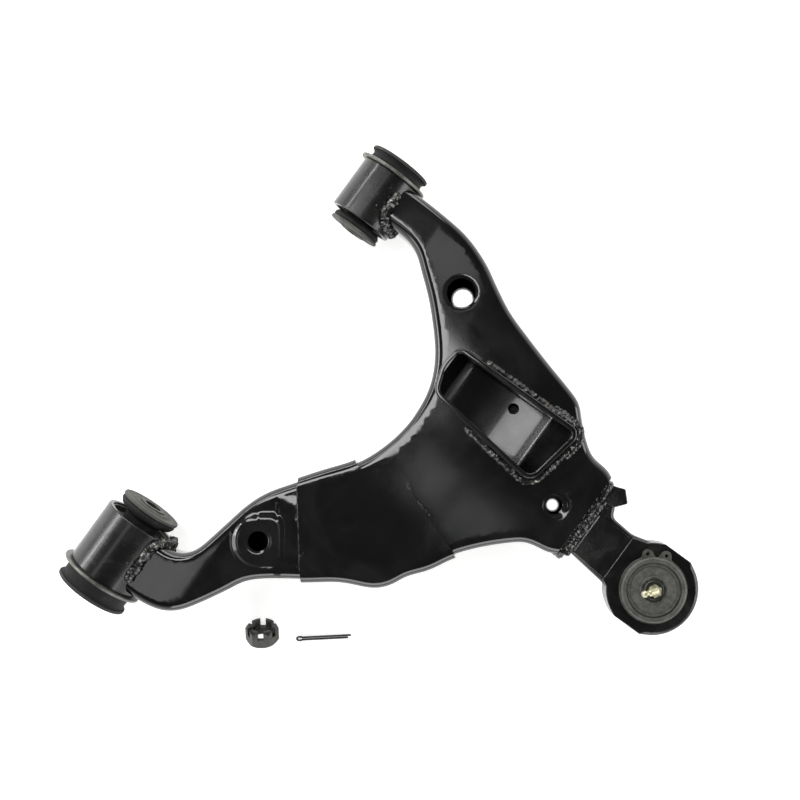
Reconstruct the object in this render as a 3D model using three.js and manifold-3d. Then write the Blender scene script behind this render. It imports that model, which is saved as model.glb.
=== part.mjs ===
// Front lower suspension control arm: two stamped shells welded into a hollow
// A-shaped arm, two rubber bushes on the pivot axis, a bracket for the damper's
// lower eye, a forged ball-joint carrier with its cartridge, and the castle nut
// and cotter pin that lie beside it.
// Millimetres. Origin: centre of the ball stud's end face. +X runs outboard from
// the pivot axis to the ball joint, +Y along the pivot axis to the rear bush, +Z up.
import * as THREE from 'three';
import { mergeVertices } from 'three/addons/utils/BufferGeometryUtils.js';
import Module from 'manifold-3d';

const wasm = await Module();
wasm.setup();

// ---------------------------------------------------------------- driving sizes
const REACH = 402.8;             // pivot axis to ball-joint axis, level
const FRONT_BUSH_Y = -254.9;     // bush centres along the pivot axis
const REAR_BUSH_Y = 139.7;
const PIVOT_HEIGHT = 39.5;       // pivot axis above the stud's end face
const ARM_TILT = 5.5;            // degrees the pressed arm rises towards the ball joint
const BALL_HEIGHT = 74;          // ball centre above the stud's end face
const SHEET = 3.2;               // pressed sheet
const FIT = 0.3;                 // room between pieces that touch
const PRESS_EDGE = 8;            // outside radius of the pressed edges
const HALF_DEPTH = 23.5;         // middle plane to outer face, at the pivot axis
const DEPTH_TAPER = 0.009;       // loss of half depth per millimetre outboard
const SEAM = -6;                 // lower edge of the upper shell's walls
const SEAM_LAP = 11;             // how far the lower shell's walls reach up inside

const FRONT_BUSH = {
  y: FRONT_BUSH_Y, out: -1, tubeR: 34.5, tubeLength: 60, flangeR: 39.5,
  sleeveR: 13, boreR: 8.2, outerDiscR: 35, outerReach: 49.8, innerDiscR: 28.75, innerReach: 47,
};
const REAR_BUSH = {
  y: REAR_BUSH_Y, out: 1, tubeR: 29.8, tubeLength: 50.5, flangeR: 34,
  sleeveR: 12, boreR: 7.2, outerDiscR: 29.5, outerReach: 40, innerDiscR: 24.5, innerReach: 36.7,
};
const TUBE_WALL = 4;
const SLEEVE_WALL = 1.8;
const FLANGE = 2.6;
const DISC = 3.6;

const BALL_R = 17;
const STUD_R = 9;                // thread radius; the castle nut is cut to match
const NUT_ACROSS = 27;
const PIN_HOLE_R = 2.3;
const EYE_R = 41;
const EYE_FLATS = 77.6;
const EYE_TOP = 89;
const EYE_BOTTOM = 64;
const CARTRIDGE_R = 28.7;
const CARTRIDGE_TOP = 96;
const CARTRIDGE_BOTTOM = 52.5;
const NECK_HALF = 11;            // half thickness of the forged neck

// ---------------------------------------------------------------- finishes
const finish = (color, roughness, metalness) => () =>
  new THREE.MeshStandardMaterial({ color, roughness, metalness });
const BLACK_COAT = finish(0x0c0d0e, 0.28, 0.1);
const TUBE_COAT = finish(0x17181a, 0.42, 0.15);
const BURNT_COAT = finish(0x1d1c1a, 0.5, 0.2);
const RUBBER = finish(0x232323, 0.85, 0);
const BARE_STEEL = finish(0x9b9a96, 0.4, 0.9);
const DARK_STEEL = finish(0x3c3d3b, 0.5, 0.7);
const POLYMER = finish(0xd8d4c4, 0.5, 0);
const YELLOW_ZINC = finish(0xc9b878, 0.35, 0.8);

// ---------------------------------------------------------------- solids
const radians = THREE.MathUtils.degToRad;

/** A watertight solid from any closed three.js geometry. */
function solid(geometry) {
  const bare = new THREE.BufferGeometry();
  bare.setAttribute('position', geometry.getAttribute('position').clone());
  if (geometry.index) bare.setIndex(geometry.index.clone());
  const merged = mergeVertices(bare, 1e-4);
  const source = merged.index.array;
  const points = merged.getAttribute('position').array;
  const faces = [];
  for (let i = 0; i < source.length; i += 3) {
    const [a, b, c] = [source[i], source[i + 1], source[i + 2]];
    if (a !== b && b !== c && c !== a) faces.push(a, b, c);
  }
  let volume = 0;
  const corner = (i) => new THREE.Vector3().fromArray(points, 3 * i);
  for (let i = 0; i < faces.length; i += 3) {
    volume += corner(faces[i]).dot(corner(faces[i + 1]).cross(corner(faces[i + 2])));
  }
  if (volume < 0) faces.reverse();
  return new wasm.Manifold(new wasm.Mesh({
    numProp: 3, vertProperties: new Float32Array(points), triVerts: new Uint32Array(faces),
  }));
}

const group = new THREE.Group();
group.name = 'control_arm';

/** Adds one named piece. */
function piece(name, body, coat) {
  const data = body.getMesh();
  const geometry = new THREE.BufferGeometry();
  geometry.setAttribute('position', new THREE.BufferAttribute(Float32Array.from(data.vertProperties), 3));
  geometry.setIndex(new THREE.BufferAttribute(Uint32Array.from(data.triVerts), 1));
  geometry.computeVertexNormals();
  const mesh = new THREE.Mesh(geometry, coat());
  mesh.name = name;
  group.add(mesh);
}

/** Turned solid about the Y axis from [radius, height] corners; loops closed off the axis. */
function turned(profile, segments = 32) {
  const points = profile.map(([r, y]) => new THREE.Vector2(r, y));
  const onAxis = profile[0][0] === 0 && profile[profile.length - 1][0] === 0;
  if (!onAxis) points.push(points[0].clone());
  return new THREE.LatheGeometry(points, segments);
}

const turnedUp = (profile, segments) => solid(turned(profile, segments).rotateX(Math.PI / 2));

/** Straight prism: [x, y] outline raised from one height to the next. */
function prism(outline, from, to) {
  const shape = new THREE.Shape(outline.map(([x, y]) => new THREE.Vector2(x, y)));
  return new THREE.ExtrudeGeometry(shape, { depth: to - from, bevelEnabled: false }).translate(0, 0, from);
}

/** Round rod between heights on an upright axis. */
const rodUp = (x, y, radius, from, to, segments = 24) => solid(
  new THREE.CylinderGeometry(radius, radius, to - from, segments)
    .rotateX(Math.PI / 2).translate(x, y, (from + to) / 2));

/** Round rod along Y. */
const rodAlong = (x, y0, y1, z, radius, segments = 24) => solid(
  new THREE.CylinderGeometry(radius, radius, y1 - y0, segments).translate(x, (y0 + y1) / 2, z));

/** Round or oval bead swept on a path of Vector3; closed or with tapered ends. */
function bead(points, wide, high, closed, sides = 6) {
  const count = points.length;
  const positions = [];
  const faces = [];
  for (let i = 0; i < count; i += 1) {
    const ahead = points[closed ? (i + 1) % count : Math.min(i + 1, count - 1)];
    const behind = points[closed ? (i + count - 1) % count : Math.max(i - 1, 0)];
    const along = ahead.clone().sub(behind).normalize();
    const hint = Math.abs(along.z) > 0.9 ? new THREE.Vector3(1, 0, 0) : new THREE.Vector3(0, 0, 1);
    const side = along.clone().cross(hint).normalize();
    const lift = side.clone().cross(along);
    for (let k = 0; k < sides; k += 1) {
      const turn = (2 * Math.PI * k) / sides;
      const p = points[i].clone()
        .addScaledVector(side, wide * Math.cos(turn)).addScaledVector(lift, high * Math.sin(turn));
      positions.push(p.x, p.y, p.z);
    }
  }
  const rings = closed ? count : count - 1;
  for (let i = 0; i < rings; i += 1) {
    const j = (i + 1) % count;
    for (let k = 0; k < sides; k += 1) {
      const m = (k + 1) % sides;
      faces.push(i * sides + k, j * sides + k, j * sides + m, i * sides + k, j * sides + m, i * sides + m);
    }
  }
  if (!closed) {
    for (let k = 1; k < sides - 1; k += 1) {
      faces.push(0, k, k + 1);
      const last = (count - 1) * sides;
      faces.push(last, last + k + 1, last + k);
    }
  }
  const geometry = new THREE.BufferGeometry();
  geometry.setAttribute('position', new THREE.Float32BufferAttribute(positions, 3));
  geometry.setIndex(faces);
  return geometry;
}

// ---------------------------------------------------------------- outlines
/** Smooth closed outline through corners, with points only where it bends. */
function smooth(corners, bend = 13, longest = 32) {
  const curve = new THREE.CatmullRomCurve3(
    corners.map(([x, y]) => new THREE.Vector3(x, y, 0)), true, 'centripetal');
  const fine = curve.getSpacedPoints(900).slice(0, -1);
  const kept = [fine[0]];
  const heading = (i) => {
    const step = fine[(i + 1) % fine.length].clone().sub(fine[i]);
    return Math.atan2(step.y, step.x);
  };
  let heldHeading = heading(0);
  for (let i = 1; i < fine.length; i += 1) {
    let turn = heading(i) - heldHeading;
    turn = Math.abs(Math.atan2(Math.sin(turn), Math.cos(turn)));
    const far = fine[i].distanceTo(kept[kept.length - 1]);
    const left = fine[i].distanceTo(fine[0]);
    if ((turn > radians(bend) && far > 4 && left > 4) || (far > longest && left > longest / 2)) {
      kept.push(fine[i]);
      heldHeading = heading(i);
    }
  }
  return kept.map((p) => [p.x, p.y]);
}

/** Closed outline of straight sides whose [x, y, radius] corners are arcs. */
function rounded(corners, step = 24) {
  const count = corners.length;
  return corners.flatMap(([x, y, radius], i) => {
    const at = new THREE.Vector2(x, y);
    const back = new THREE.Vector2(...corners[(i + count - 1) % count]).sub(at).normalize();
    const ahead = new THREE.Vector2(...corners[(i + 1) % count]).sub(at).normalize();
    const half = Math.acos(THREE.MathUtils.clamp(back.dot(ahead), -1, 1)) / 2;
    const centre = back.clone().add(ahead).normalize().multiplyScalar(radius / Math.sin(half)).add(at);
    const start = back.clone().multiplyScalar(radius / Math.tan(half)).add(at).sub(centre);
    const end = ahead.clone().multiplyScalar(radius / Math.tan(half)).add(at).sub(centre);
    const sweep = Math.atan2(start.cross(end), start.dot(end));
    const parts = Math.max(1, Math.round(Math.abs(sweep) / radians(step)));
    return Array.from({ length: parts + 1 }, (_, k) => {
      const p = start.clone().rotateAround(new THREE.Vector2(), (sweep * k) / parts).add(centre);
      return [p.x, p.y];
    });
  });
}

/** The outline moved outwards (or inwards, negative) by a distance. */
function grown(outline, distance) {
  const count = outline.length;
  return outline.map((p, i) => {
    const a = outline[(i + count - 1) % count];
    const b = outline[(i + 1) % count];
    const t0 = new THREE.Vector2(p[0] - a[0], p[1] - a[1]).normalize();
    const t1 = new THREE.Vector2(b[0] - p[0], b[1] - p[1]).normalize();
    const n = new THREE.Vector2(t0.y + t1.y, -t0.x - t1.x).normalize();
    const reach = distance / Math.max(0.6, n.dot(new THREE.Vector2(t0.y, -t0.x)));
    return [p[0] + n.x * reach, p[1] + n.y * reach];
  });
}

/** Counter-clockwise copy of an outline. */
function leftTurning(outline) {
  let area = 0;
  outline.forEach(([x, y], i) => {
    const [nx, ny] = outline[(i + 1) % outline.length];
    area += x * ny - nx * y;
  });
  return area < 0 ? [...outline].reverse() : outline;
}

// ---------------------------------------------------------------- the arm's own frame
// The pressed pieces are drawn flat: u outboard from the pivot axis, y along it and
// h away from the middle plane; tilted() then stands them at the arm's angle.
const tilt = radians(ARM_TILT);
const LENGTH = REACH * Math.cos(tilt) + (BALL_HEIGHT - PIVOT_HEIGHT) * Math.sin(tilt);
const tilted = (body) => body.rotate([0, -ARM_TILT, 0]).translate([-REACH, 0, PIVOT_HEIGHT]);
const halfDepth = (u) => HALF_DEPTH - DEPTH_TAPER * u;

const atRear = (u, y) => [u, REAR_BUSH_Y + y];
const atFront = (u, y) => [u, FRONT_BUSH_Y + y];
const atBall = (u, y) => [LENGTH + u, y];
const share = (u, y) => [u * LENGTH, y * (y > 0 ? REAR_BUSH_Y : -FRONT_BUSH_Y)];

const ARM_OUTLINE = leftTurning(smooth([
  // rear leg, outboard edge, from inside the rear tube to the bracket
  atRear(5, 18.5), atRear(18, 23.2), atRear(34, 23.3), atRear(56, 22.3), share(0.225, 1.131), share(0.297, 1.056),
  share(0.338, 0.988), share(0.4, 0.895), share(0.467, 0.83), share(0.541, 0.766),
  share(0.596, 0.723),
  // shoulder beside the bracket and the outboard end
  atBall(-146, 95), atBall(-135, 84), atBall(-119, 70), atBall(-108, 63.5), atBall(-92, 62),
  atBall(-84, 58.5), atBall(-72, 48), atBall(-65, 33), atBall(-64, 13), atBall(-68, -7),
  atBall(-76, -18.5), atBall(-91, -28), atBall(-103, -30), atBall(-113, -33), atBall(-123, -41),
  atBall(-142, -60),
  // front edge of the body and of the front leg
  share(0.61, -0.314), share(0.582, -0.396), share(0.549, -0.463), share(0.533, -0.518),
  share(0.51, -0.557), share(0.462, -0.594), share(0.437, -0.616), share(0.376, -0.69),
  share(0.309, -0.767), share(0.274, -0.82), share(0.25, -0.893),
  atFront(89.5, 6.4), atFront(79, -9.5), atFront(67, -19.1), atFront(52, -24), atFront(36, -25.8),
  atFront(22, -25.6), atFront(9, -20.5), atFront(1, -9), atFront(0, 3), atFront(4, 15),
  atFront(13, 24), atFront(24, 27),
  // inboard edges of both legs, round the root of the fork
  atFront(40, 27.9), atFront(48, 31), atFront(55, 37), atFront(59, 44), share(0.163, -0.71),
  share(0.179, -0.596), share(0.197, -0.526), share(0.233, -0.441), share(0.273, -0.353),
  share(0.324, -0.243), share(0.35, -0.141), share(0.362, -0.04), share(0.361, 0.07),
  share(0.356, 0.168), share(0.342, 0.286), share(0.316, 0.412), share(0.267, 0.573),
  share(0.23, 0.676), share(0.19, 0.77), atRear(62, -20.5), atRear(50, -15.8), atRear(34, -14.2),
  atRear(18, -14), atRear(5, -9), atRear(-1, 4.5),
]));

/** Closed skin through stacked rings of equal count, capped at both ends. */
function stacked(rings) {
  const count = rings[0].length;
  const positions = rings.flat(2);
  const faces = [];
  for (let r = 0; r < rings.length - 1; r += 1) {
    for (let i = 0; i < count; i += 1) {
      const j = (i + 1) % count;
      const [a, b] = [r * count + i, r * count + j];
      faces.push(a, b, b + count, a, b + count, a + count);
    }
  }
  const cap = (ring, offset, flip) => {
    const flat = ring.map(([x, y]) => new THREE.Vector2(x, y));
    THREE.ShapeUtils.triangulateShape(flat, []).forEach(([a, b, c]) => {
      faces.push(offset + a, offset + (flip ? c : b), offset + (flip ? b : c));
    });
  };
  cap(rings[0], 0, true);
  cap(rings[rings.length - 1], (rings.length - 1) * count, false);
  const geometry = new THREE.BufferGeometry();
  geometry.setAttribute('position', new THREE.Float32BufferAttribute(positions, 3));
  geometry.setIndex(faces);
  return solid(geometry);
}

/** Solid dome over an outline: straight wall, rounded edge and a level face that
 *  follows the arm's taper. side +1 builds upwards, -1 downwards. */
function dome(outline, side, wallFrom, faceInset, radius, steps = 3) {
  const rings = [outline.map(([x, y]) => [x, y, side * wallFrom])];
  for (let k = 0; k <= steps; k += 1) {
    const turn = (Math.PI / 2) * (k / steps);
    const inset = grown(outline, -radius * (1 - Math.cos(turn)));
    rings.push(inset.map(([x, y], i) => {
      const face = halfDepth(outline[i][0]) - faceInset;
      return [x, y, side * (face - radius * (1 - Math.sin(turn)))];
    }));
  }
  return stacked(rings);
}

// ---------------------------------------------------------------- pressed shells
const LOWER_OUTLINE = grown(ARM_OUTLINE, -(SHEET + FIT));
const SHELL_END = LENGTH - 84.7;
const REAR_HOLE = share(0.288, 0.812);
const BALL_HOLE = atBall(-111, 8.4);
const BOSS = share(0.248, -0.674);

const outboardOf = (u) => solid(prism([[u, -200], [u + 400, -200], [u + 400, 200], [u, 200]], -80, 80));
const tubeRoom = ({ y, tubeR, tubeLength }, room) => rodAlong(
  0, y - tubeLength, y + tubeLength, 0, tubeR + room, 48);

/** Trims a leg's ends to the tubes and opens the outboard end. */
const trimmed = (body) => body.subtract(tubeRoom(FRONT_BUSH, FIT))
  .subtract(tubeRoom(REAR_BUSH, FIT)).subtract(outboardOf(SHELL_END));

const upperOuter = dome(ARM_OUTLINE, 1, SEAM, 0, PRESS_EDGE);
const upperInner = dome(grown(ARM_OUTLINE, -SHEET), 1, SEAM - 1, SHEET, PRESS_EDGE - SHEET, 2);
const lowerOuter = dome(LOWER_OUTLINE, -1, -(SEAM + SEAM_LAP), 0, PRESS_EDGE);
const lowerInner = dome(
  grown(LOWER_OUTLINE, -SHEET), -1, -(SEAM + SEAM_LAP + 1), SHEET, PRESS_EDGE - SHEET, 2);

// ---------------------------------------------------------------- damper bracket
const BRACKET_WALL = 4.5;
const BRACKET_RISE = 24;         // rim above the upper face
const BOLT_R = 7.3;
const [BRACKET_U, BRACKET_Y] = share(0.515, 0.34);
const byBracket = (u, y) => [BRACKET_U + u, BRACKET_Y + y];
const BRACKET_OUTLINE = leftTurning(rounded([
  [...byBracket(-63.5, 26), 9], [...byBracket(-66.5, 3), 26], [...byBracket(-58, -21.5), 13],
  [...byBracket(56, -36), 12], [...byBracket(67, 26), 9],
]));
const rim = halfDepth(BRACKET_U) + BRACKET_RISE;
const bracketPocket = solid(prism(grown(BRACKET_OUTLINE, -BRACKET_WALL), -60, 90));
const BOLT_DROP = 11.5;          // bolt axis below the rim
const boltRoom = () => rodAlong(BRACKET_U - 6, BRACKET_Y - 60, BRACKET_Y + 60, rim - BOLT_DROP, BOLT_R, 20);
const shellEnvelope = dome(grown(ARM_OUTLINE, FIT), 1, SEAM - 40, -FIT, PRESS_EDGE);
const collar = solid(prism(BRACKET_OUTLINE, 8, rim)).subtract(bracketPocket)
  .subtract(shellEnvelope).subtract(boltRoom());

const SADDLE = 4;
const saddleTop = new THREE.CatmullRomCurve3([
  [-60, 34], [-57, 14], [-44, -6], [-22, -15], [4, -17], [26, -13], [44, -4], [54, 8], [60, 24],
].map(([u, h]) => new THREE.Vector3(BRACKET_U + u, halfDepth(BRACKET_U) + h, 0)), false, 'centripetal')
  .getPoints(18).map((p) => [p.x, p.y]);
const saddleUnder = saddleTop.map((p, i) => {
  const a = saddleTop[Math.max(i - 1, 0)];
  const b = saddleTop[Math.min(i + 1, saddleTop.length - 1)];
  const along = new THREE.Vector2(b[0] - a[0], b[1] - a[1]).normalize();
  return [p[0] + along.y * SADDLE, p[1] - along.x * SADDLE];
}).reverse();
const DRAIN = byBracket(6, 10);
const saddle = solid(prism([...saddleTop, ...saddleUnder], -70, 70).rotateX(Math.PI / 2)
  .translate(0, BRACKET_Y, 0))
  .intersect(solid(prism(grown(BRACKET_OUTLINE, -(BRACKET_WALL + FIT)), -60, 90)))
  .subtract(rodUp(...DRAIN, 5, -60, 60, 16));

// bead along the bracket's foot: rear wall, outboard end, front wall
const BEAD_R = 2.4;
const footLine = grown(BRACKET_OUTLINE, BEAD_R + FIT);
const inboardMost = footLine.reduce((best, [u], i) => (u < footLine[best][0] ? i : best), 0);
const aboveFace = ([u, y]) => new THREE.Vector3(u, y, halfDepth(u) + BEAD_R + FIT);
const footBead = bead([...footLine.slice(inboardMost), ...footLine.slice(0, inboardMost)]
  .filter(([u]) => u > BRACKET_U - 50).map(aboveFace), BEAD_R, BEAD_R, false);

// ---------------------------------------------------------------- shells, finished
const bossBody = turnedUp([[0, -4], [21, -4], [21, 0.4], [17.5, 2.6], [0, 2.6]], 28)
  .translate([...BOSS, halfDepth(BOSS[0])]);
const upperShell = trimmed(
  upperOuter.add(bossBody).subtract(upperInner)
    .subtract(solid(prism(grown(BRACKET_OUTLINE, -BRACKET_WALL), 0, 60)))
    .subtract(rodUp(...REAR_HOLE, 12.85, 0, 60, 28))
    .subtract(rodUp(...BALL_HOLE, 7.25, 0, 60, 20))
    .subtract(rodUp(...BOSS, 9, 0, 60, 20)));
const lowerShell = trimmed(
  lowerOuter.subtract(lowerInner)
    .subtract(rodUp(...REAR_HOLE, 9, -60, 0, 24))
    .subtract(rodUp(...BALL_HOLE, 4.8, -60, 0, 16)));
piece('upper_shell', tilted(upperShell), BLACK_COAT);
piece('lower_shell', tilted(lowerShell), BLACK_COAT);

// cover plate folded over the root of the front leg
const PLATE = 3;
const plateOuter = dome(grown(ARM_OUTLINE, PLATE + FIT), 1, -2, -(PLATE + FIT), PRESS_EDGE);
const plateInner = dome(grown(ARM_OUTLINE, FIT), 1, -3, -FIT, PRESS_EDGE);
const plateEdge = solid(prism([
  share(0.19, -0.31), share(0.236, -0.414), share(0.369, -0.685), share(0.42, -0.79),
  share(0.66, -0.79), share(0.66, -0.36), share(0.607, -0.3), share(0.466, -0.222),
  share(0.441, -0.19), share(0.371, -0.164), share(0.338, -0.262), share(0.3, -0.235),
], -30, 60));
piece('reinforcement_plate', tilted(plateOuter.subtract(plateInner).intersect(plateEdge)), BLACK_COAT);

piece('shock_bracket', tilted(collar), BLACK_COAT);
piece('shock_saddle', tilted(saddle), BLACK_COAT);
piece('shock_bracket_weld', tilted(solid(footBead)), BURNT_COAT);

// ---------------------------------------------------------------- bushes
/** Builds every piece of one bush and the tube it is pressed into. */
function bush(prefix, size) {
  const { y, out, tubeR, tubeLength, flangeR, sleeveR, boreR } = size;
  const half = tubeLength / 2;
  const place = (body) => body.translate([-REACH, 0, PIVOT_HEIGHT]);
  // profiles run [radius, distance outwards from the bush centre]
  const ring = (profile, segments) => place(solid(
    turned(profile.map(([r, d]) => [r, y + out * d]), segments)));
  const tubeBore = tubeR - TUBE_WALL;
  piece(`${prefix}_tube`, ring([[tubeBore, -half], [tubeR - 1, -half], [tubeR, -half + 1],
    [tubeR, half - 1], [tubeR - 1, half], [tubeBore, half]], 36), TUBE_COAT);
  const shellR = tubeBore - FIT;
  const inside = shellR - SLEEVE_WALL;
  const flangeFoot = half + FIT;
  piece(`${prefix}_outer_sleeve`, ring([[inside, -half + 2], [shellR, -half + 2], [shellR, flangeFoot],
    [flangeR, flangeFoot], [flangeR, flangeFoot + FLANGE], [inside, flangeFoot + FLANGE]], 36), BARE_STEEL);
  const { outerReach, innerReach, outerDiscR, innerDiscR } = size;
  const rubberR = inside - FIT;
  const waistR = 0.6 * innerDiscR;
  const outerFace = outerReach - DISC - FIT;
  const innerFace = innerReach - DISC - FIT;
  const lip = flangeFoot + FLANGE + FIT;
  piece(`${prefix}_rubber`, ring([
    [sleeveR + FIT, -innerFace], [innerDiscR - 3, -innerFace], [innerDiscR - 1, -innerFace + 3],
    [innerDiscR - 2.5, -innerFace + 6.5], [waistR, -half - 3], [waistR, -half + 4],
    [rubberR, -half + 7], [rubberR, lip - FIT], [rubberR, lip], [flangeR - 4, lip],
    [flangeR - 7, lip + 2], [flangeR - 7.5, outerFace - 3], [outerDiscR - 2, outerFace],
    [sleeveR + FIT, outerFace]], 26), RUBBER);
  piece(`${prefix}_inner_sleeve`, ring([[boreR, -innerReach - 1], [sleeveR, -innerReach - 1],
    [sleeveR, outerReach + 1], [boreR, outerReach + 1]], 24), BARE_STEEL);
  const hole = sleeveR + FIT;
  piece(`${prefix}_outer_washer`, ring([[hole, outerReach - DISC], [outerDiscR, outerReach - DISC],
    [outerDiscR, outerReach - 1], [outerDiscR - 1, outerReach], [hole, outerReach]], 28), DARK_STEEL);
  piece(`${prefix}_inner_washer`, ring([[hole, -innerReach], [innerDiscR * 0.62, -innerReach],
    [innerDiscR * 0.7, -innerReach + 1.4], [innerDiscR - 1, -innerReach + 1.4],
    [innerDiscR, -innerReach + 2.4], [innerDiscR, -innerReach + DISC], [hole, -innerReach + DISC]], 28),
  DARK_STEEL);
}
bush('front_bush', FRONT_BUSH);
bush('rear_bush', REAR_BUSH);

/** Bead where a leg's end meets its tube: along the upper face, down the side away
 *  from the flange and back along the lower face. */
function tubeWeld(name, { tubeR, out }, edgeByFlange, edgeAway) {
  const r = 2.6;
  const room = r + FIT;
  const top = halfDepth(20) + room;
  const corner = PRESS_EDGE + room;
  const away = edgeAway - out * room;
  const path = [[edgeByFlange - out * 9, top]];
  for (const side of [1, -1]) {
    for (let k = 0; k <= 3; k += 1) {
      const turn = (Math.PI / 2) * (side > 0 ? 1 - k / 3 : -k / 3);
      path.push([away + out * corner * (1 - Math.cos(turn)), side * (top - corner) + corner * Math.sin(turn)]);
    }
  }
  path.push([edgeByFlange - out * 9, -top]);
  const reach = tubeR + room;
  const onTube = (y, h) => new THREE.Vector3(Math.sqrt(Math.max(reach * reach - h * h, 25)), y, h);
  const points = path.flatMap(([y, h], i) => {
    const [y1, h1] = path[Math.min(i + 1, path.length - 1)];
    const parts = Math.max(1, Math.ceil(Math.hypot(y1 - y, h1 - h) / 14));
    return Array.from({ length: parts }, (_, k) => onTube(y + ((y1 - y) * k) / parts, h + ((h1 - h) * k) / parts));
  });
  piece(name, tilted(solid(bead(points, r, r, false))), BURNT_COAT);
}
tubeWeld('front_tube_weld', FRONT_BUSH, FRONT_BUSH_Y - 26, FRONT_BUSH_Y + 28.4);
tubeWeld('rear_tube_weld', REAR_BUSH, REAR_BUSH_Y + 23.4, REAR_BUSH_Y - 15);

// ---------------------------------------------------------------- ball-joint carrier
const eyeHalf = EYE_FLATS / 2;
const eyeSide = Math.sqrt(EYE_R ** 2 - eyeHalf ** 2);
const eyeTurn = Math.atan2(eyeHalf, eyeSide);
const eyeShape = new THREE.Shape();
eyeShape.absarc(0, 0, EYE_R, -eyeTurn, eyeTurn, false);
eyeShape.absarc(0, 0, EYE_R, Math.PI - eyeTurn, Math.PI + eyeTurn, false);
const EYE_EDGE = 4;
const eye = solid(new THREE.ExtrudeGeometry(eyeShape, {
  depth: EYE_TOP - EYE_BOTTOM - 2 * EYE_EDGE, curveSegments: 10, bevelEnabled: true,
  bevelThickness: EYE_EDGE, bevelSize: EYE_EDGE, bevelOffset: -EYE_EDGE, bevelSegments: 2,
}).translate(0, 0, EYE_BOTTOM + EYE_EDGE));
const neckOutline = leftTurning(rounded([
  [...atBall(-103, 29), 3], [...atBall(-76.1, 29), 1], [...atBall(-76.1, 41.1), 2.4],
  [...atBall(-67, 40.1), 3.2], [...atBall(-64.5, 31), 6], [...atBall(-40, 28.5), 20],
  [...atBall(-14, 35.5), 6], [...atBall(2, 33), 4], [...atBall(2, -33), 4],
  [...atBall(-18, -32), 6], [...atBall(-36, -21.5), 20], [...atBall(-84, -15.5), 30],
  [...atBall(-103, -13), 3],
]));
const neckShape = new THREE.Shape(neckOutline.map(([x, y]) => new THREE.Vector2(x, y)));
const NECK_EDGE = 2.2;
const neck = solid(new THREE.ExtrudeGeometry(neckShape, {
  depth: 2 * (NECK_HALF - NECK_EDGE), bevelEnabled: true, bevelThickness: NECK_EDGE,
  bevelSize: NECK_EDGE, bevelOffset: -NECK_EDGE, bevelSegments: 2,
}).translate(0, 0, -NECK_HALF + NECK_EDGE));
const rootHalf = halfDepth(SHELL_END) - SHEET - FIT;
const ROOT_DEPTH = 16;           // how far the carrier reaches into the shells' open end
const root = solid(prism([[SHELL_END - ROOT_DEPTH, -10], [SHELL_END - FIT, -10], [SHELL_END - FIT, 42],
  [SHELL_END - ROOT_DEPTH, 42]], -rootHalf, rootHalf));
const PAD = 2.4;
const pad = solid(prism([atBall(-74.5, 27.4), atBall(-74.5, -16), atBall(-39.5, -18.6),
  atBall(-39.5, 26)], 0, NECK_HALF + PAD));
const eyeAxisRod = (radius, from, to, segments) => rodUp(0, 0, radius, from, to, segments);
// level shoulder that carries the eye's flat top over the outboard end of the neck
const shoulder = solid(prism([[-41, -19], [-16, -31], [0, -32], [0, 32], [-14, 34], [-41, 26.5]],
  BALL_HEIGHT, EYE_TOP));
const carrier = tilted(neck.add(root).add(pad)).add(shoulder).add(eye)
  .subtract(eyeAxisRod(CARTRIDGE_R + FIT, 40, 120, 36));
piece('ball_joint_carrier', carrier, BLACK_COAT);

// heavy bead where the shells' open end meets the carrier
const WELD_WIDE = 4;
const WELD_HIGH = 3.4;
const endWeld = [];
const weldLow = -19 - FIT - WELD_HIGH;
const weldHigh = 29.5 + FIT + WELD_HIGH;
const weldTop = NECK_HALF + FIT + WELD_HIGH;
const weldU = SHELL_END + FIT + WELD_WIDE;
for (const [cy, ch, from] of [[weldHigh - 5, weldTop - 5, 0], [weldLow + 5, weldTop - 5, 1],
  [weldLow + 5, -weldTop + 5, 2], [weldHigh - 5, -weldTop + 5, 3]]) {
  for (let k = 0; k <= 2; k += 1) {
    const turn = (Math.PI / 2) * (from + k / 2);
    endWeld.push(new THREE.Vector3(weldU, cy + 5 * Math.cos(turn), ch + 5 * Math.sin(turn)));
  }
}
/** Bead in the plane across the arm: wide along u, high away from the neck. */
function ringBead(points, wide, high, sides = 8) {
  const centre = points.reduce((sum, p) => sum.add(p), new THREE.Vector3()).divideScalar(points.length);
  const flat = points.map((p) => [p.y, p.z]);
  const rings = Array.from({ length: sides }, (_, k) => {
    const turn = (2 * Math.PI * k) / sides;
    const moved = grown(flat, high * Math.cos(turn));
    return moved.map(([y, h]) => [centre.x + wide * Math.sin(turn), y, h]);
  });
  const positions = rings.flat(2);
  const count = points.length;
  const faces = [];
  for (let r = 0; r < sides; r += 1) {
    for (let i = 0; i < count; i += 1) {
      const j = (i + 1) % count;
      const s = (r + 1) % sides;
      faces.push(r * count + i, r * count + j, s * count + j);
      faces.push(r * count + i, s * count + j, s * count + i);
    }
  }
  const geometry = new THREE.BufferGeometry();
  geometry.setAttribute('position', new THREE.Float32BufferAttribute(positions, 3));
  geometry.setIndex(faces);
  return geometry;
}
piece('carrier_weld', tilted(solid(ringBead(endWeld, WELD_WIDE, WELD_HIGH))), BURNT_COAT);

// steering stop standing on the shells' outboard corner
const lug = solid(prism([atBall(-84.7 + FIT, 42), atBall(-76, 41.5), atBall(-67, 40.5),
  atBall(-59.5, 48), atBall(-68.5, 57.5), atBall(-75, 55), atBall(-84.7 + FIT, 52)], -10, 12));
piece('steering_stop', tilted(lug), BLACK_COAT);

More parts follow.
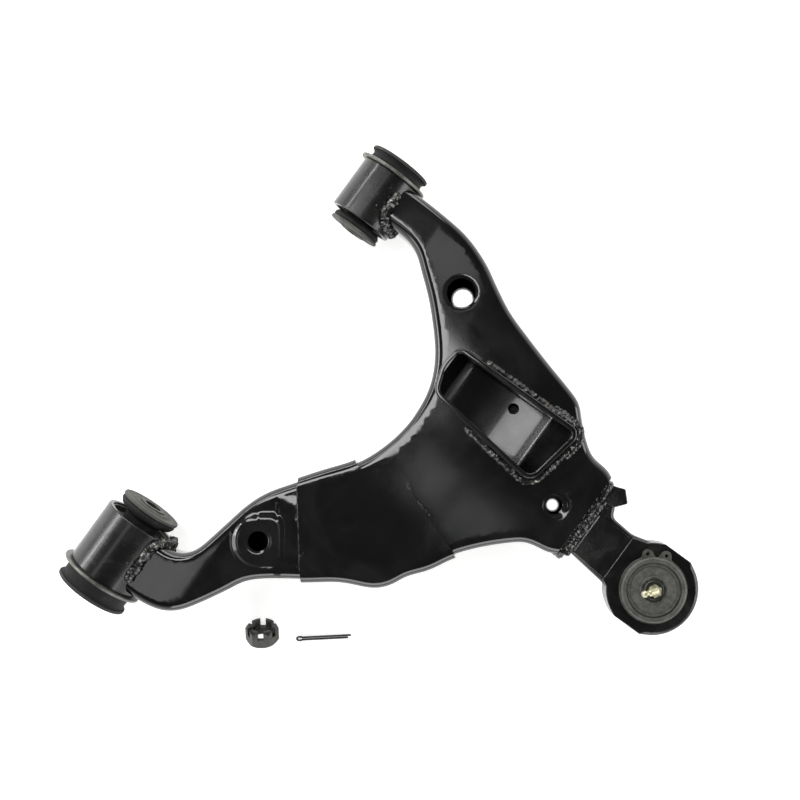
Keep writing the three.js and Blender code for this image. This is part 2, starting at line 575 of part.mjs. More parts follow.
// ---------------------------------------------------------------- ball joint
const SNAP = 2;
const GROOVE = 1.5;
const CARTRIDGE_WALL = 5.2;
const LINER_R = CARTRIDGE_R - CARTRIDGE_WALL;
const LIP_R = CARTRIDGE_R + 4.8; // lower lip, pulled up against the eye
const groove0 = EYE_TOP + FIT;
const COVER = 3;
const coverTop = CARTRIDGE_TOP - 1.2;
const FLOOR = 7;                 // thickness of the cartridge's lower lip
piece('ball_joint_housing', turnedUp([
  [LINER_R - 3, CARTRIDGE_BOTTOM], [LIP_R, CARTRIDGE_BOTTOM],
  [LIP_R, EYE_BOTTOM - FIT], [CARTRIDGE_R, EYE_BOTTOM - FIT], [CARTRIDGE_R, groove0],
  [CARTRIDGE_R - GROOVE, groove0], [CARTRIDGE_R - GROOVE, groove0 + SNAP + 2 * FIT],
  [CARTRIDGE_R, groove0 + SNAP + 2 * FIT], [CARTRIDGE_R, CARTRIDGE_TOP - 1.5],
  [CARTRIDGE_R - 1.5, CARTRIDGE_TOP], [LINER_R + 0.6, CARTRIDGE_TOP], [LINER_R + 0.6, coverTop - COVER - FIT],
  [LINER_R, coverTop - COVER - FIT], [LINER_R, CARTRIDGE_BOTTOM + FLOOR], [BALL_R - 0.5, CARTRIDGE_BOTTOM + FLOOR],
], 32), DARK_STEEL);

const seatR = BALL_R + FIT;
/** Arc of the ball's seat between two latitudes, as [radius, height] corners. */
const seatArc = (from, to, steps) => Array.from({ length: steps + 1 }, (_, k) => {
  const turn = radians(from + ((to - from) * k) / steps);
  return [seatR * Math.cos(turn), BALL_HEIGHT + seatR * Math.sin(turn)];
});
const linerOut = LINER_R - FIT;
const lowSeatFoot = BALL_HEIGHT + seatR * Math.sin(radians(-32));
piece('lower_bearing_seat', turnedUp([...seatArc(-32, -2, 3), [linerOut, BALL_HEIGHT - 0.6],
  [linerOut, CARTRIDGE_BOTTOM + FLOOR + FIT], [BALL_R - 0.6, CARTRIDGE_BOTTOM + FLOOR + FIT],
  [BALL_R - 1.6, lowSeatFoot - 1]], 24), POLYMER);
const seatTop = coverTop - COVER - 2.6;
piece('upper_bearing_seat', turnedUp([...seatArc(2, 55, 4), [10, seatTop], [linerOut, seatTop],
  [linerOut, BALL_HEIGHT + 0.6]], 24), POLYMER);
piece('spring_washer', turnedUp([[14, seatTop + 1.1], [LINER_R - 2, seatTop + FIT], [LINER_R - 0.9, seatTop + FIT],
  [LINER_R - 0.9, seatTop + FIT + 0.9], [14, seatTop + 2]], 24), DARK_STEEL);

const NIPPLE_R = 3.2;
piece('cover_plate', turnedUp([[NIPPLE_R + FIT, coverTop - COVER], [LINER_R + 0.3, coverTop - COVER],
  [LINER_R + 0.3, coverTop - 0.8], [LINER_R - 3, coverTop - 0.6], [LINER_R - 3.7, coverTop], [9, coverTop],
  [8.4, coverTop + 0.8], [NIPPLE_R + FIT, coverTop + 0.8]], 28), DARK_STEEL);

// external snap ring with two pierced ears, open towards the arm's rear side
const ringIn = CARTRIDGE_R - GROOVE + FIT;
const ringOut = CARTRIDGE_R + 1.3;
const EAR_R = 4.8;
const EAR_TURN = radians(119.5);
const EAR_SPREAD = radians(15);
const ringShape = new THREE.Shape();
ringShape.absarc(0, 0, ringOut, EAR_TURN + EAR_SPREAD, EAR_TURN - EAR_SPREAD + 2 * Math.PI, false);
ringShape.absarc(0, 0, ringIn, EAR_TURN - EAR_SPREAD + 2 * Math.PI, EAR_TURN + EAR_SPREAD, true);
const ringBase = groove0 + FIT;
let snapRing = solid(new THREE.ExtrudeGeometry(ringShape, {
  depth: SNAP, curveSegments: 24, bevelEnabled: false }).translate(0, 0, ringBase));
const earAt = (turn, radius) => [radius * Math.cos(turn), radius * Math.sin(turn)];
for (const turn of [EAR_TURN - EAR_SPREAD, EAR_TURN + EAR_SPREAD]) {
  const web = [[-0.22, ringOut - 1], [-0.1, ringOut + 4.6], [0.1, ringOut + 4.6], [0.22, ringOut - 1]]
    .map(([aside, radius]) => earAt(turn + aside, radius));
  snapRing = snapRing.add(rodUp(...earAt(turn, ringOut + 1.2), EAR_R, ringBase, ringBase + SNAP, 16))
    .add(solid(prism(web.reverse(), ringBase, ringBase + SNAP)));
}
snapRing = snapRing.subtract(eyeAxisRod(ringIn, ringBase - 1, ringBase + SNAP + 1, 28));
for (const turn of [EAR_TURN - EAR_SPREAD, EAR_TURN + EAR_SPREAD]) {
  snapRing = snapRing.subtract(rodUp(...earAt(turn, ringOut + 1.8), 1.6, ringBase - 1, ringBase + SNAP + 1, 10));
}
piece('snap_ring', snapRing, DARK_STEEL);

// bent grease nipple: hexagon, shank and a tip that leans inboard
const nippleBase = coverTop + 0.8 + FIT;
const hexagon = (across, from, to) => solid(new THREE.CylinderGeometry(
  across / Math.sqrt(3), across / Math.sqrt(3), to - from, 6).rotateX(Math.PI / 2)
  .translate(0, 0, (from + to) / 2));
const TIP_LEAN = radians(68);
const TIP_TURN = 46;             // degrees round the axis, from straight inboard towards the front
const tip = solid(new THREE.LatheGeometry([[0, -2], [3.1, -2], [3.1, 6], [2.2, 7.2], [2.2, 9.2],
  [3.2, 10.4], [2.2, 13.4], [0, 13.4]].map(([r, y]) => new THREE.Vector2(r, y)), 14)
  .rotateX(Math.PI / 2).rotateY(-TIP_LEAN).rotateZ(radians(TIP_TURN))
  .translate(0, 0, nippleBase + 5));
piece('grease_nipple', eyeAxisRod(NIPPLE_R, coverTop - COVER + 0.4, nippleBase + 1, 14)
  .add(hexagon(10, nippleBase, nippleBase + 5.6)).add(tip), YELLOW_ZINC);

// stud: ball, neck, taper and thread with a cross hole for the cotter pin
const ballArc = (from, to, steps) => Array.from({ length: steps + 1 }, (_, k) => {
  const turn = radians(from + ((to - from) * k) / steps);
  return [Math.max(BALL_R * Math.cos(turn), 0), BALL_HEIGHT + BALL_R * Math.sin(turn)];
});
const STUD_NECK_R = 8;
const neckTurn = -THREE.MathUtils.radToDeg(Math.acos(STUD_NECK_R / BALL_R));
const TAPER_TOP = 39;
const TAPER_END = 20;
const stud = turnedUp([[0, 0], [STUD_R - 1.2, 0], [STUD_R, 1.2], [STUD_R, TAPER_END],
  [STUD_R + 0.4, TAPER_END], [STUD_R + 2.1, TAPER_TOP], [STUD_R + 2.1, TAPER_TOP + 4],
  [STUD_NECK_R, TAPER_TOP + 8], ...ballArc(neckTurn, 62, 8),
  [6, BALL_HEIGHT + BALL_R * Math.sin(radians(66))], [0, BALL_HEIGHT + BALL_R * Math.sin(radians(66))],
], 24).subtract(rodAlong(0, -20, 20, 6, PIN_HOLE_R, 10));
piece('ball_stud', stud, BARE_STEEL);

// rubber boot between the cartridge and the stud, with its two retaining rings
const bootTop = CARTRIDGE_BOTTOM - FIT;
const bootNeck = STUD_R + 2.1 + FIT;
const BOOT = 2;
const bootR = CARTRIDGE_R + 2.7;
const sleeveOut = bootNeck + 2.2;
piece('dust_boot', turnedUp([[bootR - 5.4, bootTop], [bootR, bootTop], [bootR, bootTop - 3],
  [bootR + 1.6, bootTop - 6], [bootR + 0.6, bootTop - 10], [bootR - 5.4, bootTop - 13.4],
  [sleeveOut, bootTop - 14.6], [sleeveOut, bootTop - 18.2], [bootNeck, bootTop - 18.2],
  [bootNeck, bootTop - 12.6], [bootR - 6, bootTop - 13.4 + BOOT], [bootR - 1, bootTop - 8],
  [bootR - 2.4, bootTop - 2.4], [bootR - 5.4, bootTop - 2]], 26), RUBBER);
const clip = (radius, height, wire) => turnedUp(Array.from({ length: 5 }, (_, k) => {
  const turn = (2 * Math.PI * k) / 5;
  return [radius + wire * Math.cos(turn), height + wire * Math.sin(turn)];
}), 24);
piece('boot_upper_clip', clip(bootR + FIT + 0.9, bootTop - 1.6, 0.9), DARK_STEEL);
piece('boot_neck_clip', clip(sleeveOut + FIT + 0.9, bootTop - 16.6, 0.8), DARK_STEEL);

// ---------------------------------------------------------------- loose fasteners
// slotted nut tipped on its base's edge, slots towards the rear, inboard and up
const NUT_TOTAL = 16;
const NUT_SLOT = 2 * PIN_HOLE_R + 0.6;
const NUT_SLOT_DEPTH = 8;
const NUT_TURN = 126;            // degrees, heading of the nut's axis
const NUT_TIP = 23;              // degrees the axis rises from level
const NUT_AT = [-0.629 * REACH, 0.9714 * FRONT_BUSH_Y];
const nutCorner = NUT_ACROSS / Math.sqrt(3);
let nut = solid(new THREE.CylinderGeometry(nutCorner, nutCorner, NUT_TOTAL, 6)
  .rotateY(Math.PI / 6).translate(0, NUT_TOTAL / 2, 0))
  .intersect(solid(turned([[0, 0], [nutCorner - 1.6, 0], [nutCorner + 0.2, 1.8],
    [nutCorner + 0.2, NUT_TOTAL - 2.6], [NUT_ACROSS / 2 - 0.4, NUT_TOTAL], [0, NUT_TOTAL]], 36)))
  .subtract(rodAlong(0, -1, NUT_TOTAL + 1, 0, STUD_R + FIT, 24));
for (const turn of [30, 90, 150]) {
  nut = nut.subtract(solid(new THREE.BoxGeometry(40, 2 * NUT_SLOT_DEPTH, NUT_SLOT)
    .translate(0, NUT_TOTAL, 0).rotateY(radians(turn))));
}
const nutRest = (NUT_TOTAL / 2) * Math.sin(radians(NUT_TIP)) + (NUT_ACROSS / 2) * Math.cos(radians(NUT_TIP));
piece('castle_nut', nut.translate([0, -NUT_TOTAL / 2, 0])
  .rotate([NUT_TIP, 0, 0]).rotate([0, 0, NUT_TURN - 90])
  .translate([...NUT_AT, nutRest]), DARK_STEEL);

// cotter pin: half-round legs drawn as one wire, eye inboard and forward
const WIRE = 1.9;
const PIN_LENGTH = 46.5;
const PIN_TURN = radians(38.8);
const PIN_AT = [-0.544 * REACH, 0.913 * FRONT_BUSH_Y];
const PIN_EYE = [2.9, 1.7];      // half length and half width of the flattened eye
const legGap = WIRE / 2 + 0.1;
const eyeFrom = Math.asin(legGap / PIN_EYE[1]);
const pinEye = Array.from({ length: 9 }, (_, k) => {
  const turn = eyeFrom + ((2 * Math.PI - 2 * eyeFrom) * k) / 8;
  return [PIN_EYE[0] * (Math.cos(turn) - 0.8), PIN_EYE[1] * Math.sin(turn)];
});
const wirePath = [[PIN_LENGTH, legGap], [20, legGap], [3, legGap], ...pinEye,
  [3, -legGap], [20, -legGap], [PIN_LENGTH - 3, -legGap]];
const wire = bead(wirePath.map(([x, y]) => new THREE.Vector3(x, y, 0)), WIRE / 2, WIRE / 2, false, 8);
piece('cotter_pin', solid(wire.rotateZ(PIN_TURN).translate(...PIN_AT, WIRE / 2)), DARK_STEEL);

export default group;
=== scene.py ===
"""A pressed steel suspension control arm with its bushes, ball joint and fasteners.

Lengths are millimetres until a mesh is placed; placed meshes are metres, in the row frame.
The arm's own frame has u outboard from the pivot axis, y along that axis and h off the
pressing's middle plane.
"""

from __future__ import annotations

import logging
import math
import random
from collections.abc import Callable, Iterable, Sequence
from dataclasses import dataclass, field
from enum import Enum
import bmesh  # noqa: E402
import bpy  # noqa: E402
import numpy as np  # noqa: E402
from mathutils import Matrix, Vector, geometry, noise  # noqa: E402


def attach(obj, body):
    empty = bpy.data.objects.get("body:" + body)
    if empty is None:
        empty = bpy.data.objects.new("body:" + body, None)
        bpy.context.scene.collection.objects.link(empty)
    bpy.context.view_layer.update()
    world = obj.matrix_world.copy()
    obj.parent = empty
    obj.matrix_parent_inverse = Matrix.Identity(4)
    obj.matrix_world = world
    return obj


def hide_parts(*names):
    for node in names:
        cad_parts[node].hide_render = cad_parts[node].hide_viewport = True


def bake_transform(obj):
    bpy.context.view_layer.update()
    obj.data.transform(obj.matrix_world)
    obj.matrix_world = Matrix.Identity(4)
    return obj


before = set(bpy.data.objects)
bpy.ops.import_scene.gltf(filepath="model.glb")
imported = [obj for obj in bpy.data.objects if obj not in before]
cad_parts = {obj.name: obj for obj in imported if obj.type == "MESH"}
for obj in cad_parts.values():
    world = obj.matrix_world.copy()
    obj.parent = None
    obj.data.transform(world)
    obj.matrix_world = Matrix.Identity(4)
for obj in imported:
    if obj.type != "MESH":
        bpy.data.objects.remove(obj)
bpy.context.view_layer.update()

MM = 0.001
log = logging.getLogger("control_arm")

Colour = tuple[float, float, float]
Flat = np.ndarray  # N by 2 outline, millimetres
Solid = tuple[np.ndarray, list[tuple[int, ...]]]  # corners N by 3, faces


class Rides(Enum):
    """The moving bodies a piece can ride on."""

    ARM = "arm"
    FRONT_CORE = "front_bush_core"
    REAR_CORE = "rear_bush_core"
    BOOT = "boot"
    BOOT_NECK = "boot_neck"
    STUD = "stud"
    NUT = "nut"
    PIN = "pin"


class Join(Enum):
    """How a tool solid acts on a body."""

    CUT = "DIFFERENCE"
    KEEP_INSIDE = "INTERSECT"
    ADD = "UNION"


# ------------------------------------------------------------------ shader building
class Socket:
    """An output socket that takes part in plain arithmetic."""

    def __init__(self, shader: Shader, out: bpy.types.NodeSocket) -> None:
        """Wraps one output.

        Args:
            shader: the node tree the output belongs to.
            out: the output socket.
        """
        self.shader = shader
        self.out = out

    def _maths(self, operation: str, *values: Socket | float) -> Socket:
        """Adds a Math node.

        Args:
            operation: the node's operation.
            values: its inputs in order.

        Returns:
            The node's output.
        """
        return self.shader.node("ShaderNodeMath", {"operation": operation}, list(values))

    def __add__(self, other: Socket | float) -> Socket:
        """self + other."""
        return self._maths("ADD", self, other)

    __radd__ = __add__

    def __mul__(self, other: Socket | float) -> Socket:
        """self * other."""
        return self._maths("MULTIPLY", self, other)

    __rmul__ = __mul__

    def __sub__(self, other: Socket | float) -> Socket:
        """self - other."""
        return self._maths("SUBTRACT", self, other)

    def __rsub__(self, other: Socket | float) -> Socket:
        """other - self."""
        return self._maths("SUBTRACT", other, self)

    def between(self, low: float, high: float) -> Socket:
        """A soft step from 0 at low to 1 at high.

        Args:
            low: value that gives 0.
            high: value that gives 1.

        Returns:
            The stepped value.
        """
        return self.shader.node(
            "ShaderNodeMapRange",
            {"interpolation_type": "SMOOTHSTEP", "clamp": True},
            {"Value": self, "From Min": low, "From Max": high, "To Min": 0.0, "To Max": 1.0},
        )


class Shader:
    """One material's node tree, with short ways to add nodes."""

    def __init__(self, name: str) -> None:
        """Starts a material whose tree holds one Principled shader.

        Args:
            name: the material's name.
        """
        self.material = bpy.data.materials.new(name)
        self.material.use_nodes = True
        self.tree = self.material.node_tree
        self.surface = self.tree.nodes["Principled BSDF"]
        self._coords: Socket | None = None

    def node(
        self,
        kind: str,
        settings: dict[str, object] | None = None,
        values: dict[str, object] | list[object] | None = None,
        output: str | int = 0,
    ) -> Socket:
        """Adds a node.

        Args:
            kind: the node's type.
            settings: its own properties, set before its sockets.
            values: numbers, colours or sockets for its inputs, by name or in order.
            output: which output to hand back.

        Returns:
            That output.
        """
        made = self.tree.nodes.new(kind)
        for key, value in (settings or {}).items():
            setattr(made, key, value)
        pairs = values.items() if isinstance(values, dict) else enumerate(values or [])
        for key, value in pairs:
            if isinstance(value, Socket):
                self.tree.links.new(value.out, made.inputs[key])
            else:
                made.inputs[key].default_value = value
        return Socket(self, made.outputs[output])

    @property
    def coords(self) -> Socket:
        """The piece's own coordinates, in metres."""
        if self._coords is None:
            self._coords = self.node("ShaderNodeTexCoord", output="Object")
        return self._coords

    def stretched(self, scale: Sequence[float]) -> Socket:
        """The piece's coordinates scaled along each axis.

        Args:
            scale: factor along x, y and z.

        Returns:
            The scaled coordinates.
        """
        return self.node(
            "ShaderNodeVectorMath", {"operation": "MULTIPLY"}, [self.coords, tuple(scale)]
        )

    def noise(self, scale: float, detail: float = 3.0, rough: float = 0.55,
              where: Socket | None = None, warp: float = 0.0) -> Socket:
        """Cloudy noise from 0 to 1.

        Args:
            scale: cells per metre.
            detail: octaves.
            rough: share of each finer octave.
            where: coordinates, the piece's own by default.
            warp: distortion.

        Returns:
            The noise value.
        """
        return self.node(
            "ShaderNodeTexNoise",
            {},
            {"Vector": where or self.coords, "Scale": scale, "Detail": detail,
             "Roughness": rough, "Distortion": warp},
        )

    def cells(self, scale: float, where: Socket | None = None) -> Socket:
        """Distance to the nearest of scattered points.

        Args:
            scale: cells per metre.
            where: coordinates, the piece's own by default.

        Returns:
            The distance, about 0 to 1.
        """
        return self.node(
            "ShaderNodeTexVoronoi", {}, {"Vector": where or self.coords, "Scale": scale}
        )

    def colour(self, low: Colour, high: Colour, share: Socket) -> Socket:
        """A colour between two, by share.

        Args:
            low: colour where share is 0.
            high: colour where share is 1.
            share: mixing value.

        Returns:
            The mixed colour.
        """
        mix = self.tree.nodes.new("ShaderNodeMix")
        mix.data_type = "RGBA"
        mix.inputs[6].default_value = (*low, 1.0)
        mix.inputs[7].default_value = (*high, 1.0)
        self.tree.links.new(share.out, mix.inputs[0])
        return Socket(self, mix.outputs[2])

    def over(self, base: Socket, top: Colour, share: Socket) -> Socket:
        """Lays one colour over a varying one.

        Args:
            base: the colour underneath.
            top: the colour on top.
            share: how much of the top shows.

        Returns:
            The layered colour.
        """
        mix = self.tree.nodes.new("ShaderNodeMix")
        mix.data_type = "RGBA"
        self.tree.links.new(base.out, mix.inputs[6])
        mix.inputs[7].default_value = (*top, 1.0)
        self.tree.links.new(share.out, mix.inputs[0])
        return Socket(self, mix.outputs[2])

    def bump(self, height: Socket, depth: float, strength: float = 1.0) -> Socket:
        """A normal from a height.

        Args:
            height: relief, about 0 to 1.
            depth: size of the relief in metres.
            strength: share of the effect.

        Returns:
            The bumped normal.
        """
        return self.node(
            "ShaderNodeBump", {}, {"Strength": strength, "Distance": depth, "Height": height},
            output="Normal",
        )

    def dress(self, **inputs: object) -> bpy.types.Material:
        """Sets the Principled shader's sockets by name, with _ for a space.

        Args:
            inputs: numbers, colours or sockets.

        Returns:
            The finished material.
        """
        for key, value in inputs.items():
            target = self.surface.inputs[key.replace("_", " ")]
            if isinstance(value, Socket):
                self.tree.links.new(value.out, target)
            elif isinstance(value, tuple):
                target.default_value = (*value, 1.0)
            else:
                target.default_value = value
        return self.material


# ------------------------------------------------------------------ finishes
@dataclass(frozen=True)
class BlackCoat:
    """Glossy dip coat over pressed or forged steel."""

    name: str = "black_coat"
    dark: Colour = (0.0035, 0.0036, 0.0038)
    worn: Colour = (0.013, 0.0132, 0.0125)
    gloss: float = 0.055
    dull: float = 0.15
    ripple_depth: float = 0.00025
    peel_depth: float = 0.00002

    def material(self) -> bpy.types.Material:
        """Builds the finish."""
        s = Shader(self.name)
        cloud = s.noise(16.0, 4.0, 0.6, warp=0.6)
        streak = s.noise(5.0, 5.0, 0.62, where=s.stretched((9.0, 3.0, 4.0)))
        dust = s.noise(2600.0, 2.0).between(0.63, 0.76)
        marks = s.noise(95.0, 5.0, 0.7).between(0.55, 0.8)
        tone = s.colour(self.dark, self.worn, cloud.between(0.38, 0.78))
        tone = s.over(tone, (0.075, 0.073, 0.066), dust * marks * 0.5)
        rough = self.gloss + (self.dull - self.gloss) * (
            0.55 * cloud.between(0.3, 0.75) + 0.45 * streak.between(0.35, 0.75))
        rough = rough + dust * marks * 0.25
        peel = s.noise(750.0, 2.0)
        wave = s.noise(22.0, 1.5, 0.4)
        fine = s.bump(peel, self.peel_depth)
        broad = s.node("ShaderNodeBump", {}, {"Strength": 1.0, "Distance": self.ripple_depth,
                                              "Height": wave, "Normal": fine}, output="Normal")
        return s.dress(Base_Color=tone, Roughness=rough, Normal=broad, IOR=1.52,
                       Coat_Weight=0.4, Coat_Roughness=0.06)


@dataclass(frozen=True)
class CastCoat:
    """The same coat over a forged or shot-blasted skin."""

    name: str = "forged_coat"
    dark: Colour = (0.004, 0.0041, 0.0042)
    worn: Colour = (0.022, 0.022, 0.0205)
    gloss: float = 0.15
    dull: float = 0.32
    grain_depth: float = 0.00006

    def material(self) -> bpy.types.Material:
        """Builds the finish."""
        s = Shader(self.name)
        cloud = s.noise(28.0, 4.0, 0.6, warp=0.4)
        pits = s.cells(520.0).between(0.1, 0.62)
        grain = s.noise(900.0, 3.0, 0.6)
        tone = s.colour(self.dark, self.worn, cloud.between(0.4, 0.8))
        tone = s.over(tone, (0.06, 0.058, 0.052), grain.between(0.62, 0.8) * 0.3)
        rough = self.gloss + (self.dull - self.gloss) * cloud.between(0.3, 0.72)
        return s.dress(Base_Color=tone, Roughness=rough, IOR=1.52, Coat_Weight=0.2,
                       Coat_Roughness=0.16, Normal=s.bump(grain + pits * 0.8, self.grain_depth))


@dataclass(frozen=True)
class TubeCoat:
    """Thinner satin coat on drawn tube, with the draw lines and handling dust."""

    name: str = "tube_coat"
    dark: Colour = (0.005, 0.0051, 0.005)
    worn: Colour = (0.026, 0.0265, 0.0245)
    around: float = 900.0

    def material(self) -> bpy.types.Material:
        """Builds the finish."""
        s = Shader(self.name)
        cloud = s.noise(34.0, 5.0, 0.65, warp=0.5)
        lines = s.noise(1.0, 3.0, 0.6, where=s.stretched((self.around, 40.0, self.around)))
        specks = s.noise(1500.0, 2.0).between(0.62, 0.74)
        tone = s.colour(self.dark, self.worn, cloud.between(0.4, 0.85))
        tone = s.over(tone, (0.11, 0.11, 0.1), specks * cloud.between(0.4, 0.7) * 0.5)
        rough = 0.16 + 0.18 * cloud + 0.05 * lines
        return s.dress(Base_Color=tone, Roughness=rough, Coat_Weight=0.3, Coat_Roughness=0.1,
                       Normal=s.bump(lines + cloud * 0.4, 0.00005))


@dataclass(frozen=True)
class WeldMetal:
    """Coated weld bead with bare glints and brown heat tint."""

    name: str = "weld"
    coat: Colour = (0.006, 0.006, 0.0062)
    bare: Colour = (0.42, 0.41, 0.37)
    tint: Colour = (0.05, 0.036, 0.022)
    glints: float = 0.8
    grain: float = 190.0

    def material(self) -> bpy.types.Material:
        """Builds the finish."""
        s = Shader(self.name)
        cloud = s.noise(130.0, 4.0, 0.65)
        fleck = s.noise(self.grain, 3.0, 0.6).between(0.58, 0.66)
        brown = s.noise(60.0, 3.0).between(0.5, 0.75)
        tone = s.colour(self.coat, (0.035, 0.034, 0.031), cloud.between(0.4, 0.7))
        tone = s.over(tone, self.tint, brown * 0.5)
        tone = s.over(tone, self.bare, fleck * cloud.between(0.45, 0.6) * self.glints)
        return s.dress(Base_Color=tone, Roughness=0.12 + 0.2 * cloud,
                       Metallic=fleck * (0.75 * self.glints), Coat_Weight=0.4, Coat_Roughness=0.07,
                       Normal=s.bump(s.noise(self.grain * 1.2, 2.0, 0.5), 0.00016))


@dataclass(frozen=True)
class Rubber:
    """Moulded rubber with talc dust in its grain."""

    name: str = "rubber"
    dark: Colour = (0.006, 0.006, 0.0063)
    dusty: Colour = (0.036, 0.0365, 0.033)

    def material(self) -> bpy.types.Material:
        """Builds the finish."""
        s = Shader(self.name)
        cloud = s.noise(70.0, 5.0, 0.65, warp=0.7)
        grain = s.noise(1500.0, 3.0, 0.6)
        tone = s.colour(self.dark, self.dusty, cloud.between(0.42, 0.82) * 0.75)
        tone = s.over(tone, (0.14, 0.14, 0.13), grain.between(0.66, 0.8) * 0.35)
        return s.dress(Base_Color=tone, Roughness=0.62 + 0.25 * cloud, Specular_IOR_Level=0.35,
                       Normal=s.bump(grain + cloud, 0.00006))


@dataclass(frozen=True)
class Steel:
    """Bare or phosphated steel, turned or pressed."""

    name: str
    dark: Colour
    light: Colour
    rough: float
    metal: float
    line_scale: tuple[float, float, float] = (300.0, 300.0, 900.0)
    relief: float = 0.00004

    def material(self) -> bpy.types.Material:
        """Builds the finish."""
        s = Shader(self.name)
        cloud = s.noise(90.0, 4.0, 0.62, warp=0.5)
        lines = s.noise(1.0, 3.0, 0.6, where=s.stretched(self.line_scale))
        grain = s.noise(1300.0, 2.0)
        tone = s.colour(self.dark, self.light, (cloud * 0.7 + lines * 0.3).between(0.34, 0.66))
        rough = self.rough + 0.22 * (cloud - 0.5) + 0.12 * lines
        metal = self.metal * (1.0 - 0.35 * cloud.between(0.6, 0.8))
        return s.dress(Base_Color=tone, Roughness=rough, Metallic=metal,
                       Normal=s.bump(lines * 0.5 + grain, self.relief))


@dataclass(frozen=True)
class GreasedCap:
    """Phosphated cap, darkened by grease round the middle."""

    name: str = "greased_cap"
    dry: Colour = (0.085, 0.086, 0.078)
    pale: Colour = (0.14, 0.14, 0.128)
    wet: Colour = (0.014, 0.014, 0.01)
    wet_radius: float = 0.0125

    def material(self) -> bpy.types.Material:
        """Builds the finish."""
        s = Shader(self.name)
        apart = s.node("ShaderNodeVectorMath", {"operation": "LENGTH"},
                       [s.stretched((1.0, 1.0, 0.0))], output="Value")
        cloud = s.noise(140.0, 5.0, 0.65, warp=0.4)
        edge = apart + (cloud - 0.5) * 0.007
        wet = 1.0 - edge.between(self.wet_radius * 0.72, self.wet_radius)
        tone = s.colour(self.dry, self.pale, s.noise(240.0, 4.0, 0.6).between(0.35, 0.7))
        tone = s.over(tone, self.wet, wet * 0.9)
        grain = s.noise(1400.0, 3.0, 0.6)
        return s.dress(Base_Color=tone, Roughness=0.52 - 0.34 * wet + 0.12 * cloud,
                       Metallic=0.45 - 0.3 * wet, Normal=s.bump(grain, 0.00005))


@dataclass(frozen=True)
class Polymer:
    """Moulded bearing liner."""

    name: str = "seat_polymer"
    base: Colour = (0.62, 0.6, 0.53)

    def material(self) -> bpy.types.Material:
        """Builds the finish."""
        s = Shader(self.name)
        cloud = s.noise(120.0, 3.0)
        tone = s.colour(tuple(0.85 * c for c in self.base), self.base, cloud)
        return s.dress(Base_Color=tone, Roughness=0.4 + 0.15 * cloud,
                       Normal=s.bump(s.noise(900.0, 2.0), 0.00002))


@dataclass(frozen=True)
class Sweep:
    """The pale studio floor."""

    name: str = "studio_floor"
    pale: Colour = (0.86, 0.86, 0.85)

    def material(self) -> bpy.types.Material:
        """Builds the finish."""
        s = Shader(self.name)
        tone = s.colour(tuple(0.985 * c for c in self.pale), self.pale, s.noise(3.0, 3.0))
        return s.dress(Base_Color=tone, Roughness=0.7, Specular_IOR_Level=0.1,
                       Emission_Color=(1.0, 1.0, 0.995), Emission_Strength=0.62)


COATED_WELD = WeldMetal("coated_weld", glints=0.12, tint=(0.01, 0.009, 0.008))
SADDLE_COAT = BlackCoat("saddle_coat", gloss=0.17, dull=0.28)
BARE_STEEL = Steel("bare_steel", (0.3, 0.29, 0.27), (0.55, 0.54, 0.5), 0.33, 0.95)
FLANGE_STEEL = Steel("flange_steel", (0.1, 0.1, 0.09), (0.22, 0.22, 0.2), 0.34, 0.7)
DARK_STEEL = Steel("dark_steel", (0.022, 0.022, 0.02), (0.07, 0.069, 0.062), 0.42, 0.55)
RING_STEEL = Steel("ring_steel", (0.07, 0.071, 0.064), (0.15, 0.15, 0.138), 0.42, 0.5)
YELLOW_ZINC = Steel("yellow_zinc", (0.5, 0.47, 0.3), (0.78, 0.75, 0.56), 0.3, 0.75)
NUT_STEEL = Steel("nut_steel", (0.018, 0.018, 0.017), (0.062, 0.062, 0.056), 0.36, 0.5)


class Paints:
    """Builds each finish once and hands it out."""

    def __init__(self) -> None:
        """Starts with an empty rack."""
        self._made: dict[str, bpy.types.Material] = {}

    def of(self, finish: object) -> bpy.types.Material:
        """The material of a finish.

        Args:
            finish: any of the finish classes.

        Returns:
            Its material.
        """
        if finish.name not in self._made:
            self._made[finish.name] = finish.material()
        return self._made[finish.name]


PAINTS = Paints()


# ------------------------------------------------------------------ outlines
def between(a: np.ndarray, b: np.ndarray, from_knot: float, to_knot: float,
            at: float) -> np.ndarray:
    """The point that lies at a knot between two others."""
    return (a * (to_knot - at) + b * (at - from_knot)) / (to_knot - from_knot)


def curve_through(corners: Sequence[Sequence[float]], spacing: float,
                  closed: bool = True) -> np.ndarray:
    """A smooth line through corners, resampled evenly.

    Args:
        corners: points of two or three coordinates.
        spacing: distance between the new points.
        closed: whether the last corner joins the first.

    Returns:
        The resampled points.
    """
    points = np.array(corners, float)
    count = len(points)
    if not closed:
        before, after = 2 * points[0] - points[1], 2 * points[-1] - points[-2]
        padded = np.vstack([before, points, after])
    made = []
    for i in range(count if closed else count - 1):
        p = [points[(i + k) % count] for k in (-1, 0, 1, 2)] if closed else list(padded[i:i + 4])
        knots = [0.0]
        for a, b in zip(p, p[1:]):
            knots.append(knots[-1] + max(float(np.linalg.norm(b - a)) ** 0.5, 1e-6))
        for t in np.linspace(knots[1], knots[2], 24, endpoint=False):
            first = [between(p[k], p[k + 1], knots[k], knots[k + 1], t) for k in range(3)]
            second = [between(first[k], first[k + 1], knots[k], knots[k + 2], t) for k in range(2)]
            made.append(between(second[0], second[1], knots[1], knots[2], t))
    if not closed:
        made.append(points[-1])
    return evenly(np.array(made), spacing, closed)


